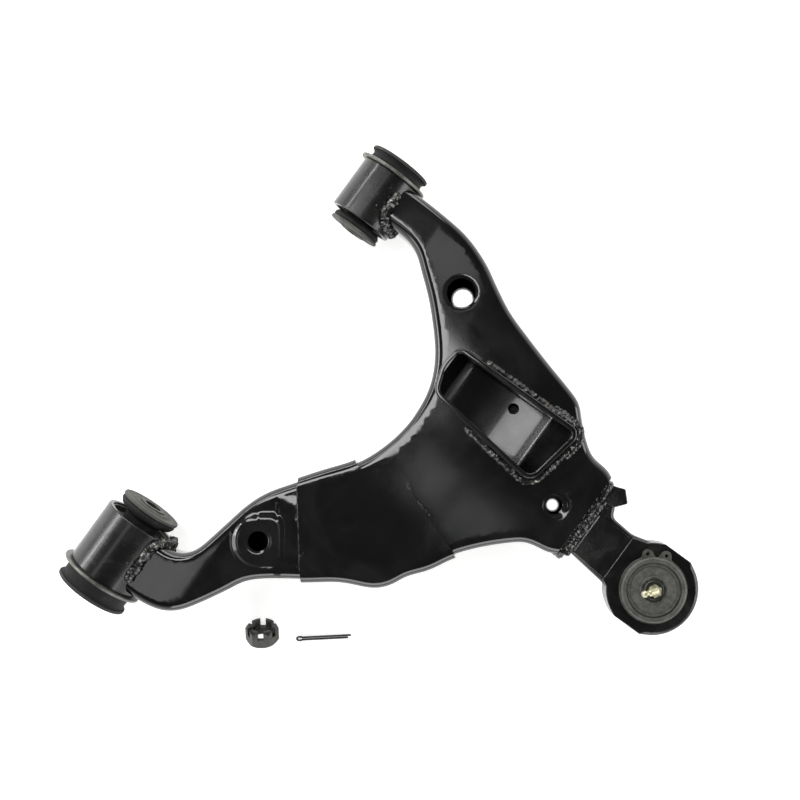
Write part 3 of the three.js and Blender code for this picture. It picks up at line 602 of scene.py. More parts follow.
def evenly(line: np.ndarray, spacing: float, closed: bool = True) -> np.ndarray:
    """The line resampled at even distances.

    Args:
        line: points along it.
        spacing: wanted distance, adjusted to fit a whole number of times.
        closed: whether it ends where it starts.

    Returns:
        The new points.
    """
    path = np.vstack([line, line[:1]]) if closed else line
    steps = np.linalg.norm(np.diff(path, axis=0), axis=1)
    along = np.concatenate([[0.0], np.cumsum(steps)])
    count = max(int(round(along[-1] / spacing)), 4)
    at = np.linspace(0, along[-1], count + 1)[: count if closed else count + 1]
    return np.stack([np.interp(at, along, path[:, k]) for k in range(path.shape[1])], axis=1)


def left_turning(outline: Flat) -> Flat:
    """The outline, turned so that it runs anticlockwise."""
    x, y = outline[:, 0], outline[:, 1]
    area = np.sum(x * np.roll(y, -1) - np.roll(x, -1) * y)
    return outline if area > 0 else outline[::-1].copy()


def outward(outline: Flat) -> Flat:
    """Unit normals that point out of an anticlockwise outline."""
    along = np.roll(outline, -1, axis=0) - np.roll(outline, 1, axis=0)
    along /= np.linalg.norm(along, axis=1, keepdims=True) + 1e-9
    return np.stack([along[:, 1], -along[:, 0]], axis=1)


def grown(outline: Flat, distance: float | np.ndarray, calm: float = 0.12) -> Flat:
    """The outline moved outwards by a distance, in short steps that stay smooth.

    Args:
        outline: anticlockwise outline.
        distance: how far, negative inwards; one number or one for each point.
        calm: how much each step evens out its points.

    Returns:
        An outline with as many points.
    """
    far = np.max(np.abs(distance))
    steps = max(1, int(math.ceil(far / 1.2)))
    step = (np.asarray(distance, float) / steps)
    step = step[:, None] if step.ndim else step
    now = outline.copy()
    for _ in range(steps):
        now = now + outward(now) * step
        middle = (np.roll(now, 1, axis=0) + np.roll(now, -1, axis=0)) / 2
        now = now + calm * (middle - now)
    return now


def rounded(corners: Sequence[Sequence[float]], step: float = 8.0) -> Flat:
    """Closed outline of straight sides whose corners are arcs.

    Args:
        corners: x, y and corner radius of each.
        step: turn between points of an arc, degrees.

    Returns:
        The outline.
    """
    made = []
    count = len(corners)
    for i, (x, y, radius) in enumerate(corners):
        at = np.array([x, y], float)
        back = np.array(corners[i - 1][:2], float) - at
        ahead = np.array(corners[(i + 1) % count][:2], float) - at
        back /= np.linalg.norm(back)
        ahead /= np.linalg.norm(ahead)
        if radius <= 0:
            made.append(at)
            continue
        half = math.acos(float(np.clip(back @ ahead, -1, 1))) / 2
        middle = back + ahead
        centre = at + middle / np.linalg.norm(middle) * radius / math.sin(half)
        start = at + back * radius / math.tan(half) - centre
        end = at + ahead * radius / math.tan(half) - centre
        sweep = math.atan2(start[0] * end[1] - start[1] * end[0], float(start @ end))
        parts = max(1, round(abs(math.degrees(sweep)) / step))
        for k in range(parts + 1):
            turn = sweep * k / parts
            c, s = math.cos(turn), math.sin(turn)
            made.append(centre + (c * start[0] - s * start[1], s * start[0] + c * start[1]))
    return np.array(made)


def circle(x: float, y: float, radius: float, count: int = 48) -> Flat:
    """A circle as an anticlockwise outline.

    Args:
        x: centre.
        y: centre.
        radius: its radius.
        count: number of points.

    Returns:
        The outline.
    """
    turn = np.linspace(0, 2 * math.pi, count, endpoint=False)
    return np.stack([x + radius * np.cos(turn), y + radius * np.sin(turn)], axis=1)


def inside(points: Flat, outline: Flat) -> np.ndarray:
    """Which points lie inside an outline.

    Args:
        points: the points to test.
        outline: the closed outline.

    Returns:
        One truth value for each point.
    """
    x, y = points[:, 0][:, None], points[:, 1][:, None]
    ax, ay = outline[:, 0][None], outline[:, 1][None]
    bx, by = np.roll(outline, -1, axis=0)[:, 0][None], np.roll(outline, -1, axis=0)[:, 1][None]
    spans = (ay > y) != (by > y)
    cross = ax + (y - ay) * (bx - ax) / np.where(by == ay, 1e-12, by - ay)
    return (np.sum(spans & (x < cross), axis=1) % 2) == 1


def distance_to(points: Flat, outline: Flat) -> np.ndarray:
    """How far each point is from an outline's line.

    Args:
        points: the points.
        outline: the closed outline.

    Returns:
        One distance for each point.
    """
    a = outline[None]
    b = np.roll(outline, -1, axis=0)[None]
    p = points[:, None]
    along = b - a
    t = np.clip(np.sum((p - a) * along, axis=2) / (np.sum(along * along, axis=2) + 1e-12), 0, 1)
    return np.min(np.linalg.norm(p - (a + t[..., None] * along), axis=2), axis=1)


def soft_step(value: np.ndarray, low: float, high: float) -> np.ndarray:
    """A smooth step from 0 at low to 1 at high."""
    t = np.clip((value - low) / (high - low), 0, 1)
    return t * t * (3 - 2 * t)


# ------------------------------------------------------------------ solids
def stacked(rings: Sequence[np.ndarray], cap_ends: bool = True) -> Solid:
    """Closed skin through rings of equal count.

    Args:
        rings: each N by 3.
        cap_ends: whether the first and last ring are filled.

    Returns:
        The solid.
    """
    count = len(rings[0])
    faces: list[tuple[int, ...]] = []
    for r in range(len(rings) - 1):
        for i in range(count):
            j = (i + 1) % count
            a, b = r * count + i, r * count + j
            faces.append((a, b, b + count, a + count))
    if cap_ends:
        faces.append(tuple(range(count))[::-1])
        last = (len(rings) - 1) * count
        faces.append(tuple(last + i for i in range(count)))
    return np.vstack(rings), faces


def at_height(outline: Flat, height: float | np.ndarray) -> np.ndarray:
    """An outline lifted to a height.

    Args:
        outline: the outline.
        height: one height or one for each point.

    Returns:
        N by 3 points.
    """
    return np.column_stack([outline, np.broadcast_to(height, len(outline))])


def block(outline: Flat, low: float, high: float, edge: float = 0.0,
          edges: np.ndarray | None = None, steps: int = 4) -> Solid:
    """Straight-sided solid with rounded top and bottom edges.

    Args:
        outline: anticlockwise outline.
        low: lower face.
        high: upper face.
        edge: radius of the edges.
        edges: a radius for each point instead.
        steps: facets in each edge.

    Returns:
        The solid.
    """
    radius = np.full(len(outline), edge) if edges is None else edges
    if not np.any(radius > 0):
        return stacked([at_height(outline, low), at_height(outline, high)])
    rings = []
    for side, level in ((-1, low), (1, high)):
        for k in range(steps + 1):
            turn = math.pi / 2 * (k / steps)
            if side < 0:
                turn = math.pi / 2 - turn
            ring = grown(outline, -radius * (1 - math.cos(turn)), 0.0)
            rings.append(at_height(ring, level - side * radius * (1 - math.sin(turn))))
    return stacked(rings)


def turned(profile: Sequence[Sequence[float]], segments: int = 72,
           fillet_step: float = 22.0) -> Solid:
    """Solid turned about the upright axis.

    Args:
        profile: closed loop of radius, height and corner radius.
        segments: facets round the axis.
        fillet_step: turn between points of a corner, degrees.

    Returns:
        The solid.
    """
    loop = rounded([(*p, 0.0) if len(p) == 2 else p for p in profile], fillet_step)
    loop[:, 0] = np.maximum(loop[:, 0], 0.0)
    count = len(loop)
    turn = np.linspace(0, 2 * math.pi, segments, endpoint=False)
    points = np.stack([
        loop[None, :, 0] * np.cos(turn)[:, None],
        loop[None, :, 0] * np.sin(turn)[:, None],
        np.broadcast_to(loop[None, :, 1], (segments, count)),
    ], axis=2).reshape(-1, 3)
    faces = []
    for i in range(segments):
        j = (i + 1) % segments
        for k in range(count):
            m = (k + 1) % count
            faces.append((i * count + k, j * count + k, j * count + m, i * count + m))
    return points, faces


def merged(*solids: Solid) -> Solid:
    """Several solids as one list of corners and faces."""
    corners, faces, start = [], [], 0
    for points, own in solids:
        corners.append(points)
        faces += [tuple(start + i for i in f) for f in own]
        start += len(points)
    return np.vstack(corners), faces


def moved(body: Solid, change: Callable[[np.ndarray], np.ndarray]) -> Solid:
    """A solid with its corners changed."""
    return change(body[0]), body[1]


def spun(points: np.ndarray, axis: int, degrees: float) -> np.ndarray:
    """Points turned about an axis through the origin.

    Args:
        points: N by 3.
        axis: 0, 1 or 2.
        degrees: how far.

    Returns:
        The turned points.
    """
    c, s = math.cos(math.radians(degrees)), math.sin(math.radians(degrees))
    i, j = [(1, 2), (2, 0), (0, 1)][axis]
    out = np.array(points, float)
    out[:, i], out[:, j] = c * points[:, i] - s * points[:, j], s * points[:, i] + c * points[:, j]
    return out


# ------------------------------------------------------------------ objects
def raw_object(name: str, body: Solid, closed: bool = True) -> bpy.types.Object:
    """A Blender object from a solid in millimetres, with its faces turned outwards.

    Args:
        name: the object's name.
        body: corners and faces.
        closed: whether the skin is closed; an open one keeps its own sides.

    Returns:
        The linked object.
    """
    mesh = bpy.data.meshes.new(name)
    mesh.from_pydata((body[0] * MM).tolist(), [], body[1])
    bm = bmesh.new()
    bm.from_mesh(mesh)
    bmesh.ops.remove_doubles(bm, verts=bm.verts, dist=1e-6)
    bmesh.ops.dissolve_degenerate(bm, edges=bm.edges, dist=1e-7)
    if closed:
        bmesh.ops.recalc_face_normals(bm, faces=bm.faces)
    bm.to_mesh(mesh)
    bm.free()
    made = bpy.data.objects.new(name, mesh)
    bpy.context.scene.collection.objects.link(made)
    return made


def settle(target: bpy.types.Object) -> bpy.types.Object:
    """Makes an object's modifiers permanent.

    Args:
        target: the object.

    Returns:
        The same object.
    """
    bpy.context.view_layer.update()
    shown = target.evaluated_get(bpy.context.evaluated_depsgraph_get())
    mesh = bpy.data.meshes.new_from_object(shown)
    target.modifiers.clear()
    old = target.data
    target.data = mesh
    bpy.data.meshes.remove(old)
    mesh.name = target.name
    return target


def worked(target: bpy.types.Object, tool: Solid, how: Join) -> bpy.types.Object:
    """Cuts, trims or adds to an object with a tool solid.

    Args:
        target: the object that changes.
        tool: the tool, in millimetres in the same frame.
        how: what the tool does.

    Returns:
        The changed object.
    """
    other = raw_object("tool", tool)
    act = target.modifiers.new("work", "BOOLEAN")
    act.operation = how.value
    act.object = other
    act.solver = "EXACT"
    settle(target)
    mesh = other.data
    bpy.data.objects.remove(other)
    bpy.data.meshes.remove(mesh)
    return target


@dataclass(frozen=True)
class ArmFrame:
    """Where the pressed arm lies in the row frame."""

    reach: float = 402.8
    pivot_height: float = 39.5
    tilt: float = 5.5
    half_depth: float = 23.5
    taper: float = 0.009
    front_y: float = -254.9
    rear_y: float = 139.7
    ball_height: float = 74.0

    @property
    def length(self) -> float:
        """Pivot axis to ball-joint axis, along the arm."""
        turn = math.radians(self.tilt)
        rise = self.ball_height - self.pivot_height
        return self.reach * math.cos(turn) + rise * math.sin(turn)

    def share(self, u: float, y: float) -> tuple[float, float]:
        """A point given as shares of the arm's length and of a bush's distance."""
        return u * self.length, y * (self.rear_y if y > 0 else -self.front_y)

    def rear(self, u: float, y: float) -> tuple[float, float]:
        """A point given from the rear bush."""
        return u, self.rear_y + y

    def front(self, u: float, y: float) -> tuple[float, float]:
        """A point given from the front bush."""
        return u, self.front_y + y

    def ball(self, u: float, y: float) -> tuple[float, float]:
        """A point given from the ball joint's axis."""
        return self.length + u, y

    def face(self, u: np.ndarray | float) -> np.ndarray | float:
        """Height of the flat faces above the middle plane."""
        return self.half_depth - self.taper * u

    def stand(self, points: np.ndarray) -> np.ndarray:
        """From the arm's own frame to the row frame, millimetres."""
        out = spun(points, 1, -self.tilt)
        return out + np.array([-self.reach, 0.0, self.pivot_height])


ARM = ArmFrame()


def finished(
    target: bpy.types.Object,
    finish: object,
    rides: Rides | None,
    stands_for: Iterable[str] = (),
    crease: float = 32.0,
    even: bool = True,
) -> bpy.types.Object:
    """Dresses a piece and puts it on its body.

    Args:
        target: the piece.
        finish: its finish.
        rides: the body, or None to leave the piece on no body.
        stands_for: CAD nodes it replaces.
        crease: edges sharper than this stay sharp, degrees.
        even: whether large faces lead the shading.

    Returns:
        The piece.
    """
    mesh = target.data
    mesh.materials.clear()
    mesh.materials.append(PAINTS.of(finish))
    mesh.shade_smooth()
    mesh.set_sharp_from_angle(angle=math.radians(crease))
    if even:
        weigh = target.modifiers.new("even_shading", "WEIGHTED_NORMAL")
        weigh.keep_sharp = True
        weigh.weight = 60
    if rides is not None:
        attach(target, rides.value)
    if stands_for:
        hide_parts(*stands_for)
    log.info("%s: %d faces", target.name, len(mesh.polygons))
    return target


def softened(target: bpy.types.Object, width: float, above: float = 40.0,
             steps: int = 2) -> bpy.types.Object:
    """Breaks a piece's sharp edges.

    Args:
        target: the piece.
        width: size of the broken edge, millimetres.
        above: only edges sharper than this, degrees.
        steps: facets across it.

    Returns:
        The piece.
    """
    edge = target.modifiers.new("edge", "BEVEL")
    edge.width = width * MM
    edge.segments = steps
    edge.limit_method = "ANGLE"
    edge.angle_limit = math.radians(above)
    edge.use_clamp_overlap = True
    return settle(target)


# ------------------------------------------------------------------ welds
@dataclass
class Bead:
    """A weld bead with its ripples."""

    radius: float = 2.6
    flat: float = 0.8
    pitch: float = 2.6
    ripple: float = 0.16
    lumps: float = 0.14
    sides: int = 14
    seed: float = 0.0

    def along(self, path: np.ndarray, facing: np.ndarray | Sequence[float],
              closed: bool = False) -> Solid:
        """Lays the bead on a path.

        Args:
            path: points along its middle.
            facing: the way its crown faces, one vector or one for each point.
            closed: whether it joins its own start.

        Returns:
            The bead.
        """
        out = np.broadcast_to(np.asarray(facing, float), path.shape)
        line = evenly(np.hstack([path, out]), self.radius * 0.3, closed)
        path, out = line[:, :3], line[:, 3:]
        count = len(path)
        ahead = np.roll(path, -1, axis=0) - np.roll(path, 1, axis=0)
        if not closed:
            ahead[0], ahead[-1] = path[1] - path[0], path[-1] - path[-2]
        ahead /= np.linalg.norm(ahead, axis=1, keepdims=True)
        side = np.cross(ahead, out)
        side /= np.linalg.norm(side, axis=1, keepdims=True) + 1e-9
        crown = np.cross(side, ahead)
        run = np.arange(count) * self.radius * 0.3
        total = run[-1]
        rings = []
        for i in range(count):
            end = 1.0 if closed else min(run[i], total - run[i]) / (self.radius * 1.4)
            size = self.radius * (math.sqrt(max(1 - (1 - min(end, 1.0)) ** 2, 0.0)) * 0.98 + 0.02)
            for k in range(self.sides):
                turn = 2 * math.pi * k / self.sides
                c, s = math.cos(turn), math.sin(turn)
                phase = (run[i] + self.radius * 0.9 * max(c, 0.0)) / self.pitch
                wave = abs(math.sin(math.pi * phase)) ** 0.7
                lump = noise.noise(Vector((run[i] / 5.0, 1.7 * c + self.seed, 1.7 * s)))
                dip = self.ripple * (1 - wave) * (0.35 + 0.65 * max(c, 0.0))
                own = size * (1 - dip + self.lumps * lump)
                rings.append(path[i] + crown[i] * own * self.flat * c + side[i] * own * s)
        points = np.array(rings)
        faces: list[tuple[int, ...]] = []
        for i in range(count if closed else count - 1):
            j = (i + 1) % count
            for k in range(self.sides):
                m = (k + 1) % self.sides
                faces.append((i * self.sides + k, j * self.sides + k,
                              j * self.sides + m, i * self.sides + m))
        if not closed:
            faces.append(tuple(range(self.sides)))
            faces.append(tuple((count - 1) * self.sides + k for k in range(self.sides))[::-1])
        return points, faces


def looped(rings: Sequence[np.ndarray]) -> Solid:
    """Closed skin through rings where the last joins the first."""
    points, faces = stacked(rings, cap_ends=False)
    count = len(rings[0])
    last = (len(rings) - 1) * count
    for i in range(count):
        j = (i + 1) % count
        faces.append((last + i, last + j, j, i))
    return points, faces


# ------------------------------------------------------------------ the pressed arm
@dataclass
class PressedArm:
    """Upper and lower shells, and the plate folded over the front leg's root."""

    sheet: float = 3.2
    edge: float = 8.0
    seam: float = -6.0
    lap: float = 11.0
    point_gap: float = 3.4
    grid: float = 5.5
    edge_steps: int = 7
    plate: float = 3.0
    rear_hole: tuple[float, float] = (12.85, 9.0)
    ball_hole: tuple[float, float] = (7.25, 4.8)
    boss_radius: float = 20.5
    boss_rise: float = 2.4
    boss_hole: float = 9.0
    leg_across: tuple[float, float] = (0.809, 0.588)
    rear_hole_at: tuple[float, float] = ARM.share(0.288, 0.812)
    ball_hole_at: tuple[float, float] = ARM.ball(-111, 8.4)
    boss_at: tuple[float, float] = ARM.share(0.248, -0.674)
    outline: Flat = field(init=False)

    def __post_init__(self) -> None:
        """Draws the arm's outline."""
        self.outline = left_turning(curve_through(self.corners(), self.point_gap))
        for _ in range(3):
            near = (np.roll(self.outline, 1, axis=0) + np.roll(self.outline, -1, axis=0)) / 2
            self.outline = self.outline + 0.4 * (near - self.outline)

    @property
    def shell_end(self) -> float:
        """Where the shells stop, short of the ball joint."""
        return ARM.length - 84.7

    def corners(self) -> list[tuple[float, float]]:
        """The points the outline runs through."""
        share, rear, front, ball = ARM.share, ARM.rear, ARM.front, ARM.ball
        return [
            rear(5, 18.5), rear(18, 23.2), rear(34, 23.3), rear(56, 22.3),
            share(0.225, 1.131), share(0.297, 1.056), share(0.338, 0.988), share(0.4, 0.895),
            share(0.467, 0.83), share(0.541, 0.766), share(0.596, 0.723),
            ball(-146, 95), ball(-135, 84), ball(-119, 70), ball(-108, 63.5), ball(-92, 62),
            ball(-84, 58.5), ball(-72, 48), ball(-65, 33), ball(-64, 13), ball(-68, -7),
            ball(-76, -18.5), ball(-91, -28), ball(-103, -30), ball(-113, -33),
            ball(-123, -41), ball(-142, -60),
            share(0.61, -0.314), share(0.582, -0.396), share(0.549, -0.463),
            share(0.533, -0.518), share(0.51, -0.557), share(0.462, -0.594),
            share(0.437, -0.616), share(0.376, -0.69), share(0.309, -0.767),
            share(0.274, -0.82), share(0.25, -0.893),
            front(89.5, 6.4), front(79, -9.5), front(67, -19.1), front(52, -24),
            front(36, -25.8), front(22, -25.6), front(9, -20.5), front(1, -9), front(0, 3),
            front(4, 15), front(13, 24), front(24, 27), front(40, 27.9), front(48, 31),
            front(55, 37), front(59, 44),
            share(0.163, -0.71), share(0.179, -0.596), share(0.197, -0.526),
            share(0.233, -0.441), share(0.273, -0.353), share(0.324, -0.243),
            share(0.35, -0.141), share(0.362, -0.04), share(0.361, 0.07), share(0.356, 0.168),
            share(0.342, 0.286), share(0.316, 0.412), share(0.267, 0.573), share(0.23, 0.676),
            share(0.19, 0.77),
            rear(62, -20.5), rear(50, -15.8), rear(34, -14.2), rear(18, -14), rear(5, -9),
            rear(-1, 4.5),
        ]

    def upper_holes(self) -> list[tuple[float, float, float]]:
        """Centre and radius of each hole in the upper shell."""
        return [(*self.rear_hole_at, self.rear_hole[0]),
                (*self.ball_hole_at, self.ball_hole[0]),
                (*self.boss_at, self.boss_hole)]

    def lower_holes(self) -> list[tuple[float, float, float]]:
        """Centre and radius of each hole in the lower shell."""
        return [(*self.rear_hole_at, self.rear_hole[1]),
                (*self.ball_hole_at, self.ball_hole[1])]

    def upper_relief(self, points: Flat) -> np.ndarray:
        """How far the upper face stands off its plane.

        Args:
            points: u and y of each.

        Returns:
            One height for each point, millimetres.
        """
        u, y = points[:, 0], points[:, 1]
        height = np.zeros(len(points))
        centre = np.array(self.boss_at)
        across, up = self.leg_across
        a = (u - centre[0]) * across + (y - centre[1]) * up
        b = -(u - centre[0]) * up + (y - centre[1]) * across
        round_end = self.boss_radius - np.hypot(a, b)
        gap_side, gap_end = self.boss_radius + 1 - np.abs(b), 19.0 - a
        both = np.hypot(np.maximum(8.0 - gap_side, 0), np.maximum(8.0 - gap_end, 0))
        straight = np.minimum(np.minimum(gap_side, gap_end), 8.0 - both)
        depth = np.where(a < 0, round_end, straight)
        height += self.boss_rise * soft_step(depth, -4.6, 1.4)
        strip = np.minimum.reduce([a - 16.0, 38.0 - a, 38.0 - np.abs(b)])
        height += 0.9 * soft_step(strip, 0.0, 2.0) * (1 - soft_step(depth, -2, 0.5))
        dips, reaches = (1.1, 2.3, 0.9), (2.6, 6.0, 2.6)
        for (x0, y0, radius), dip, reach in zip(self.upper_holes(), dips, reaches):
            away = np.hypot(u - x0, y - y0) - radius
            height -= dip * (1 - soft_step(away, -0.4, reach))
        height -= 0.035 * np.maximum(0.0, 66.0 - u) * soft_step(y, 60.0, 90.0)
        height -= 0.03 * np.maximum(0.0, 74.0 - u) * soft_step(-y, 150.0, 190.0)
        shoulder = np.hypot((u - 300.0) / 26.0, (y - 66.0) / 20.0)
        height -= 1.3 * (1 - soft_step(shoulder, 0.1, 1.0))
        return height

    def flat_relief(self, points: Flat) -> np.ndarray:
        """A slight hollow along the lower face."""
        near_hole = np.zeros(len(points))
        for x0, y0, radius in self.lower_holes():
            away = np.hypot(points[:, 0] - x0, points[:, 1] - y0) - radius
            near_hole -= 1.2 * (1 - soft_step(away, -0.4, 3.0))
        return near_hole

    def skin(self, outline: Flat, side: int, wall_from: float, lift: float,
             holes: Sequence[tuple[float, float, float]],
             relief: Callable[[Flat], np.ndarray]) -> Solid:
        """Open sheet: a wall, a rounded edge and a face with holes and relief.

        Args:
            outline: the pressing's outline.
            side: 1 for a face on top, -1 for one underneath.
            wall_from: height where the wall starts, on that side.
            lift: how far the face is off the shells' own.
            holes: centre and radius of each.
            relief: height of the face off its plane.

        Returns:
            The sheet, facing outwards.
        """
        rings = [at_height(outline, wall_from)]
        flat = outline
        for k in range(self.edge_steps + 1):
            turn = math.pi / 2 * k / self.edge_steps
            flat = grown(outline, -self.edge * (1 - math.cos(turn)))
            height = ARM.face(flat[:, 0]) + lift + relief(flat) - self.edge * (1 - math.sin(turn))
            rings.append(at_height(flat, height))
        body = stacked(rings, cap_ends=False)
        loops = [flat]
        gaps = []
        for x0, y0, radius in holes:
            gaps.append(circle(x0, y0, radius, 56))
            loops.append(gaps[-1])
            loops += [circle(x0, y0, radius + more, 56) for more in (0.7, 1.6, 2.8, 4.6, 7.0)]
        low, high = flat.min(axis=0), flat.max(axis=0)
        rows = np.arange(low[1], high[1], self.grid * 0.866)
        spots = np.array([(x + (self.grid / 2 if r % 2 else 0), yy) for r, yy in enumerate(rows)
                          for x in np.arange(low[0], high[0], self.grid)])
        centre = np.array(self.boss_at)
        if side > 0 and len(holes) > 2:
            fine = np.array([(x, yy) for x in np.arange(-30, 44, 1.7)
                             for yy in np.arange(-36, 36, 1.7)])
            spots = spots[np.hypot(*(spots - centre).T) > 40]
            spots = np.vstack([spots, fine[np.hypot(*fine.T) < 40] + centre])
        spots = spots[inside(spots, flat) & (distance_to(spots, flat) > 1.8)]
        for x0, y0, radius in holes:
            spots = spots[np.hypot(spots[:, 0] - x0, spots[:, 1] - y0) > radius + 8.2]
        start, lines, all_points = 0, [], []
        for loop in loops:
            lines += [(start + i, start + (i + 1) % len(loop)) for i in range(len(loop))]
            all_points.append(loop)
            start += len(loop)
        all_points.append(spots)
        flat_points = [Vector(p) for p in np.vstack(all_points)]
        found = geometry.delaunay_2d_cdt(flat_points, lines, [], 0, 1e-5)
        corners = np.array([tuple(v) for v in found[0]])
        faces = [f for f in found[2]]
        middles = np.array([corners[list(f)].mean(axis=0) for f in faces])
        keep = inside(middles, flat)
        for gap in gaps:
            keep &= ~inside(middles, gap)
        faces = [tuple(f) for f, k in zip(faces, keep) if k]
        top = np.column_stack([corners, ARM.face(corners[:, 0]) + lift + relief(corners)])
        points, sides = merged(body, (top, faces))
        if side < 0:
            points = points * np.array([1.0, 1.0, -1.0])
            sides = [f[::-1] for f in sides]
        return points, sides

    def thick(self, name: str, sheet: Solid, thickness: float) -> bpy.types.Object:
        """Gives a sheet its thickness, inwards.

        Args:
            name: the object's name.
            sheet: the outer skin, in the arm's own frame.
            thickness: in millimetres.

        Returns:
            The solid object.
        """
        made = raw_object(name, moved(sheet, ARM.stand), closed=False)
        thicken = made.modifiers.new("sheet", "SOLIDIFY")
        thicken.thickness = thickness * MM
        thicken.offset = -1.0
        thicken.use_even_offset = True
        return settle(made)

    def end_tools(self) -> list[Solid]:
        """Solids that trim the legs to their tubes and open the outboard end."""
        tools = []
        for y0, radius, half in ((ARM.front_y, 34.6, 70.0), (ARM.rear_y, 29.9, 70.0)):
            tube = block(circle(0, 0, radius, 120), -half, half)
            tube = moved(tube, lambda p: spun(p, 0, 90))
            tools.append((tube[0] + np.array([0.0, y0, 0.0]), tube[1]))
        end = self.shell_end
        box = np.array([(end, -200.0), (end + 300, -200.0), (end + 300, 200.0), (end, 200.0)])
        tools.append(block(box, -90, 90))
        return tools

    def build_upper(self, pocket: Flat) -> bpy.types.Object:
        """The upper shell, open under the damper bracket.

        Args:
            pocket: outline of the opening.

        Returns:
            The piece.
        """
        sheet = self.skin(self.outline, 1, self.seam, 0.0, self.upper_holes(), self.upper_relief)
        shell = self.thick("pressed_upper_shell", sheet, self.sheet)
        tools = merged(*self.end_tools(), block(pocket, 2.0, 60.0))
        worked(shell, moved(tools, ARM.stand), Join.CUT)
        return finished(shell, BlackCoat(), Rides.ARM, ["upper_shell"])

    def build_lower(self) -> bpy.types.Object:
        """The lower shell, nested inside the upper one's walls."""
        outline = grown(self.outline, -(self.sheet + 0.15))
        sheet = self.skin(outline, -1, -(self.seam + self.lap), 0.0, self.lower_holes(),
                          self.flat_relief)
        shell = self.thick("pressed_lower_shell", sheet, self.sheet)
        worked(shell, moved(merged(*self.end_tools()), ARM.stand), Join.CUT)
        return finished(shell, BlackCoat(), Rides.ARM, ["lower_shell"])

    def build_seam_weld(self) -> list[bpy.types.Object]:
        """Bead along the step between the two shells, outside the tubes."""
        line = grown(self.outline, -1.9)
        keep = (line[:, 0] > 44) & (line[:, 0] < self.shell_end - 3)
        start = int(np.argmin(keep))
        line, keep = np.roll(line, -start, axis=0), np.roll(keep, -start)
        facing = np.column_stack([outward(line), np.full(len(line), -0.9)])
        edges = np.flatnonzero(np.diff(keep.astype(int)))
        made = []
        for run, (first, last) in enumerate(zip(edges[::2], edges[1::2])):
            path = at_height(line[first + 1:last + 1], self.seam - 1.3)
            bead = Bead(radius=1.9, pitch=3.0, sides=10, seed=run)
            body = bead.along(path, facing[first + 1:last + 1])
            bead = raw_object(f"seam_weld_{run + 1}", moved(body, ARM.stand))
            made.append(finished(bead, WeldMetal(), Rides.ARM, even=False))
        return made

    def build_plate(self) -> bpy.types.Object:
        """The plate folded over the front leg's root."""
        s = ARM.share
        outline = grown(self.outline, self.plate + 0.2)
        pin_hole = (*ARM.share(0.3385, -0.6175), 2.6)
        sheet = self.skin(outline, 1, -2.0, self.plate + 0.15, [pin_hole],
                          lambda p: np.zeros(len(p)))
        plate = self.thick("folded_plate", sheet, self.plate)
        edge = rounded([(*s(0.19, -0.31), 0), (*s(0.236, -0.414), 0), (*s(0.369, -0.685), 0),
                        (*s(0.42, -0.79), 0), (*s(0.66, -0.79), 0), (*s(0.66, -0.36), 2),
                        (*s(0.607, -0.3), 3), (*s(0.466, -0.222), 9), (*s(0.441, -0.19), 6),
                        (*s(0.371, -0.164), 5), (*s(0.338, -0.262), 4), (*s(0.3, -0.235), 3)])
        worked(plate, moved(block(left_turning(edge), -40, 70), ARM.stand), Join.KEEP_INSIDE)
        softened(plate, 0.45, above=50)
        return finished(plate, BlackCoat(), Rides.ARM, ["reinforcement_plate"])

    def build_plate_welds(self) -> None:
        """Short beads along the plate's edges."""
        s = ARM.share
        runs = [(s(0.437, -0.2), s(0.452, -0.215), 1.3), (s(0.48, -0.23), s(0.52, -0.247), 1.2),
                (s(0.245, -0.437), s(0.362, -0.672), 0.9)]
        for number, (start, end, radius) in enumerate(runs):
            line = np.linspace(start, end, 12)
            height = ARM.face(line[:, 0]) + (self.plate if number < 2 else 0.4)
            body = Bead(radius=radius, flat=0.7, pitch=1.9, lumps=0.3, seed=7.0 + number).along(
                at_height(line, height), (0, 0, 1))
            bead = raw_object(f"plate_weld_{number + 1}", moved(body, ARM.stand))
            finished(bead, WeldMetal(), Rides.ARM, even=False)


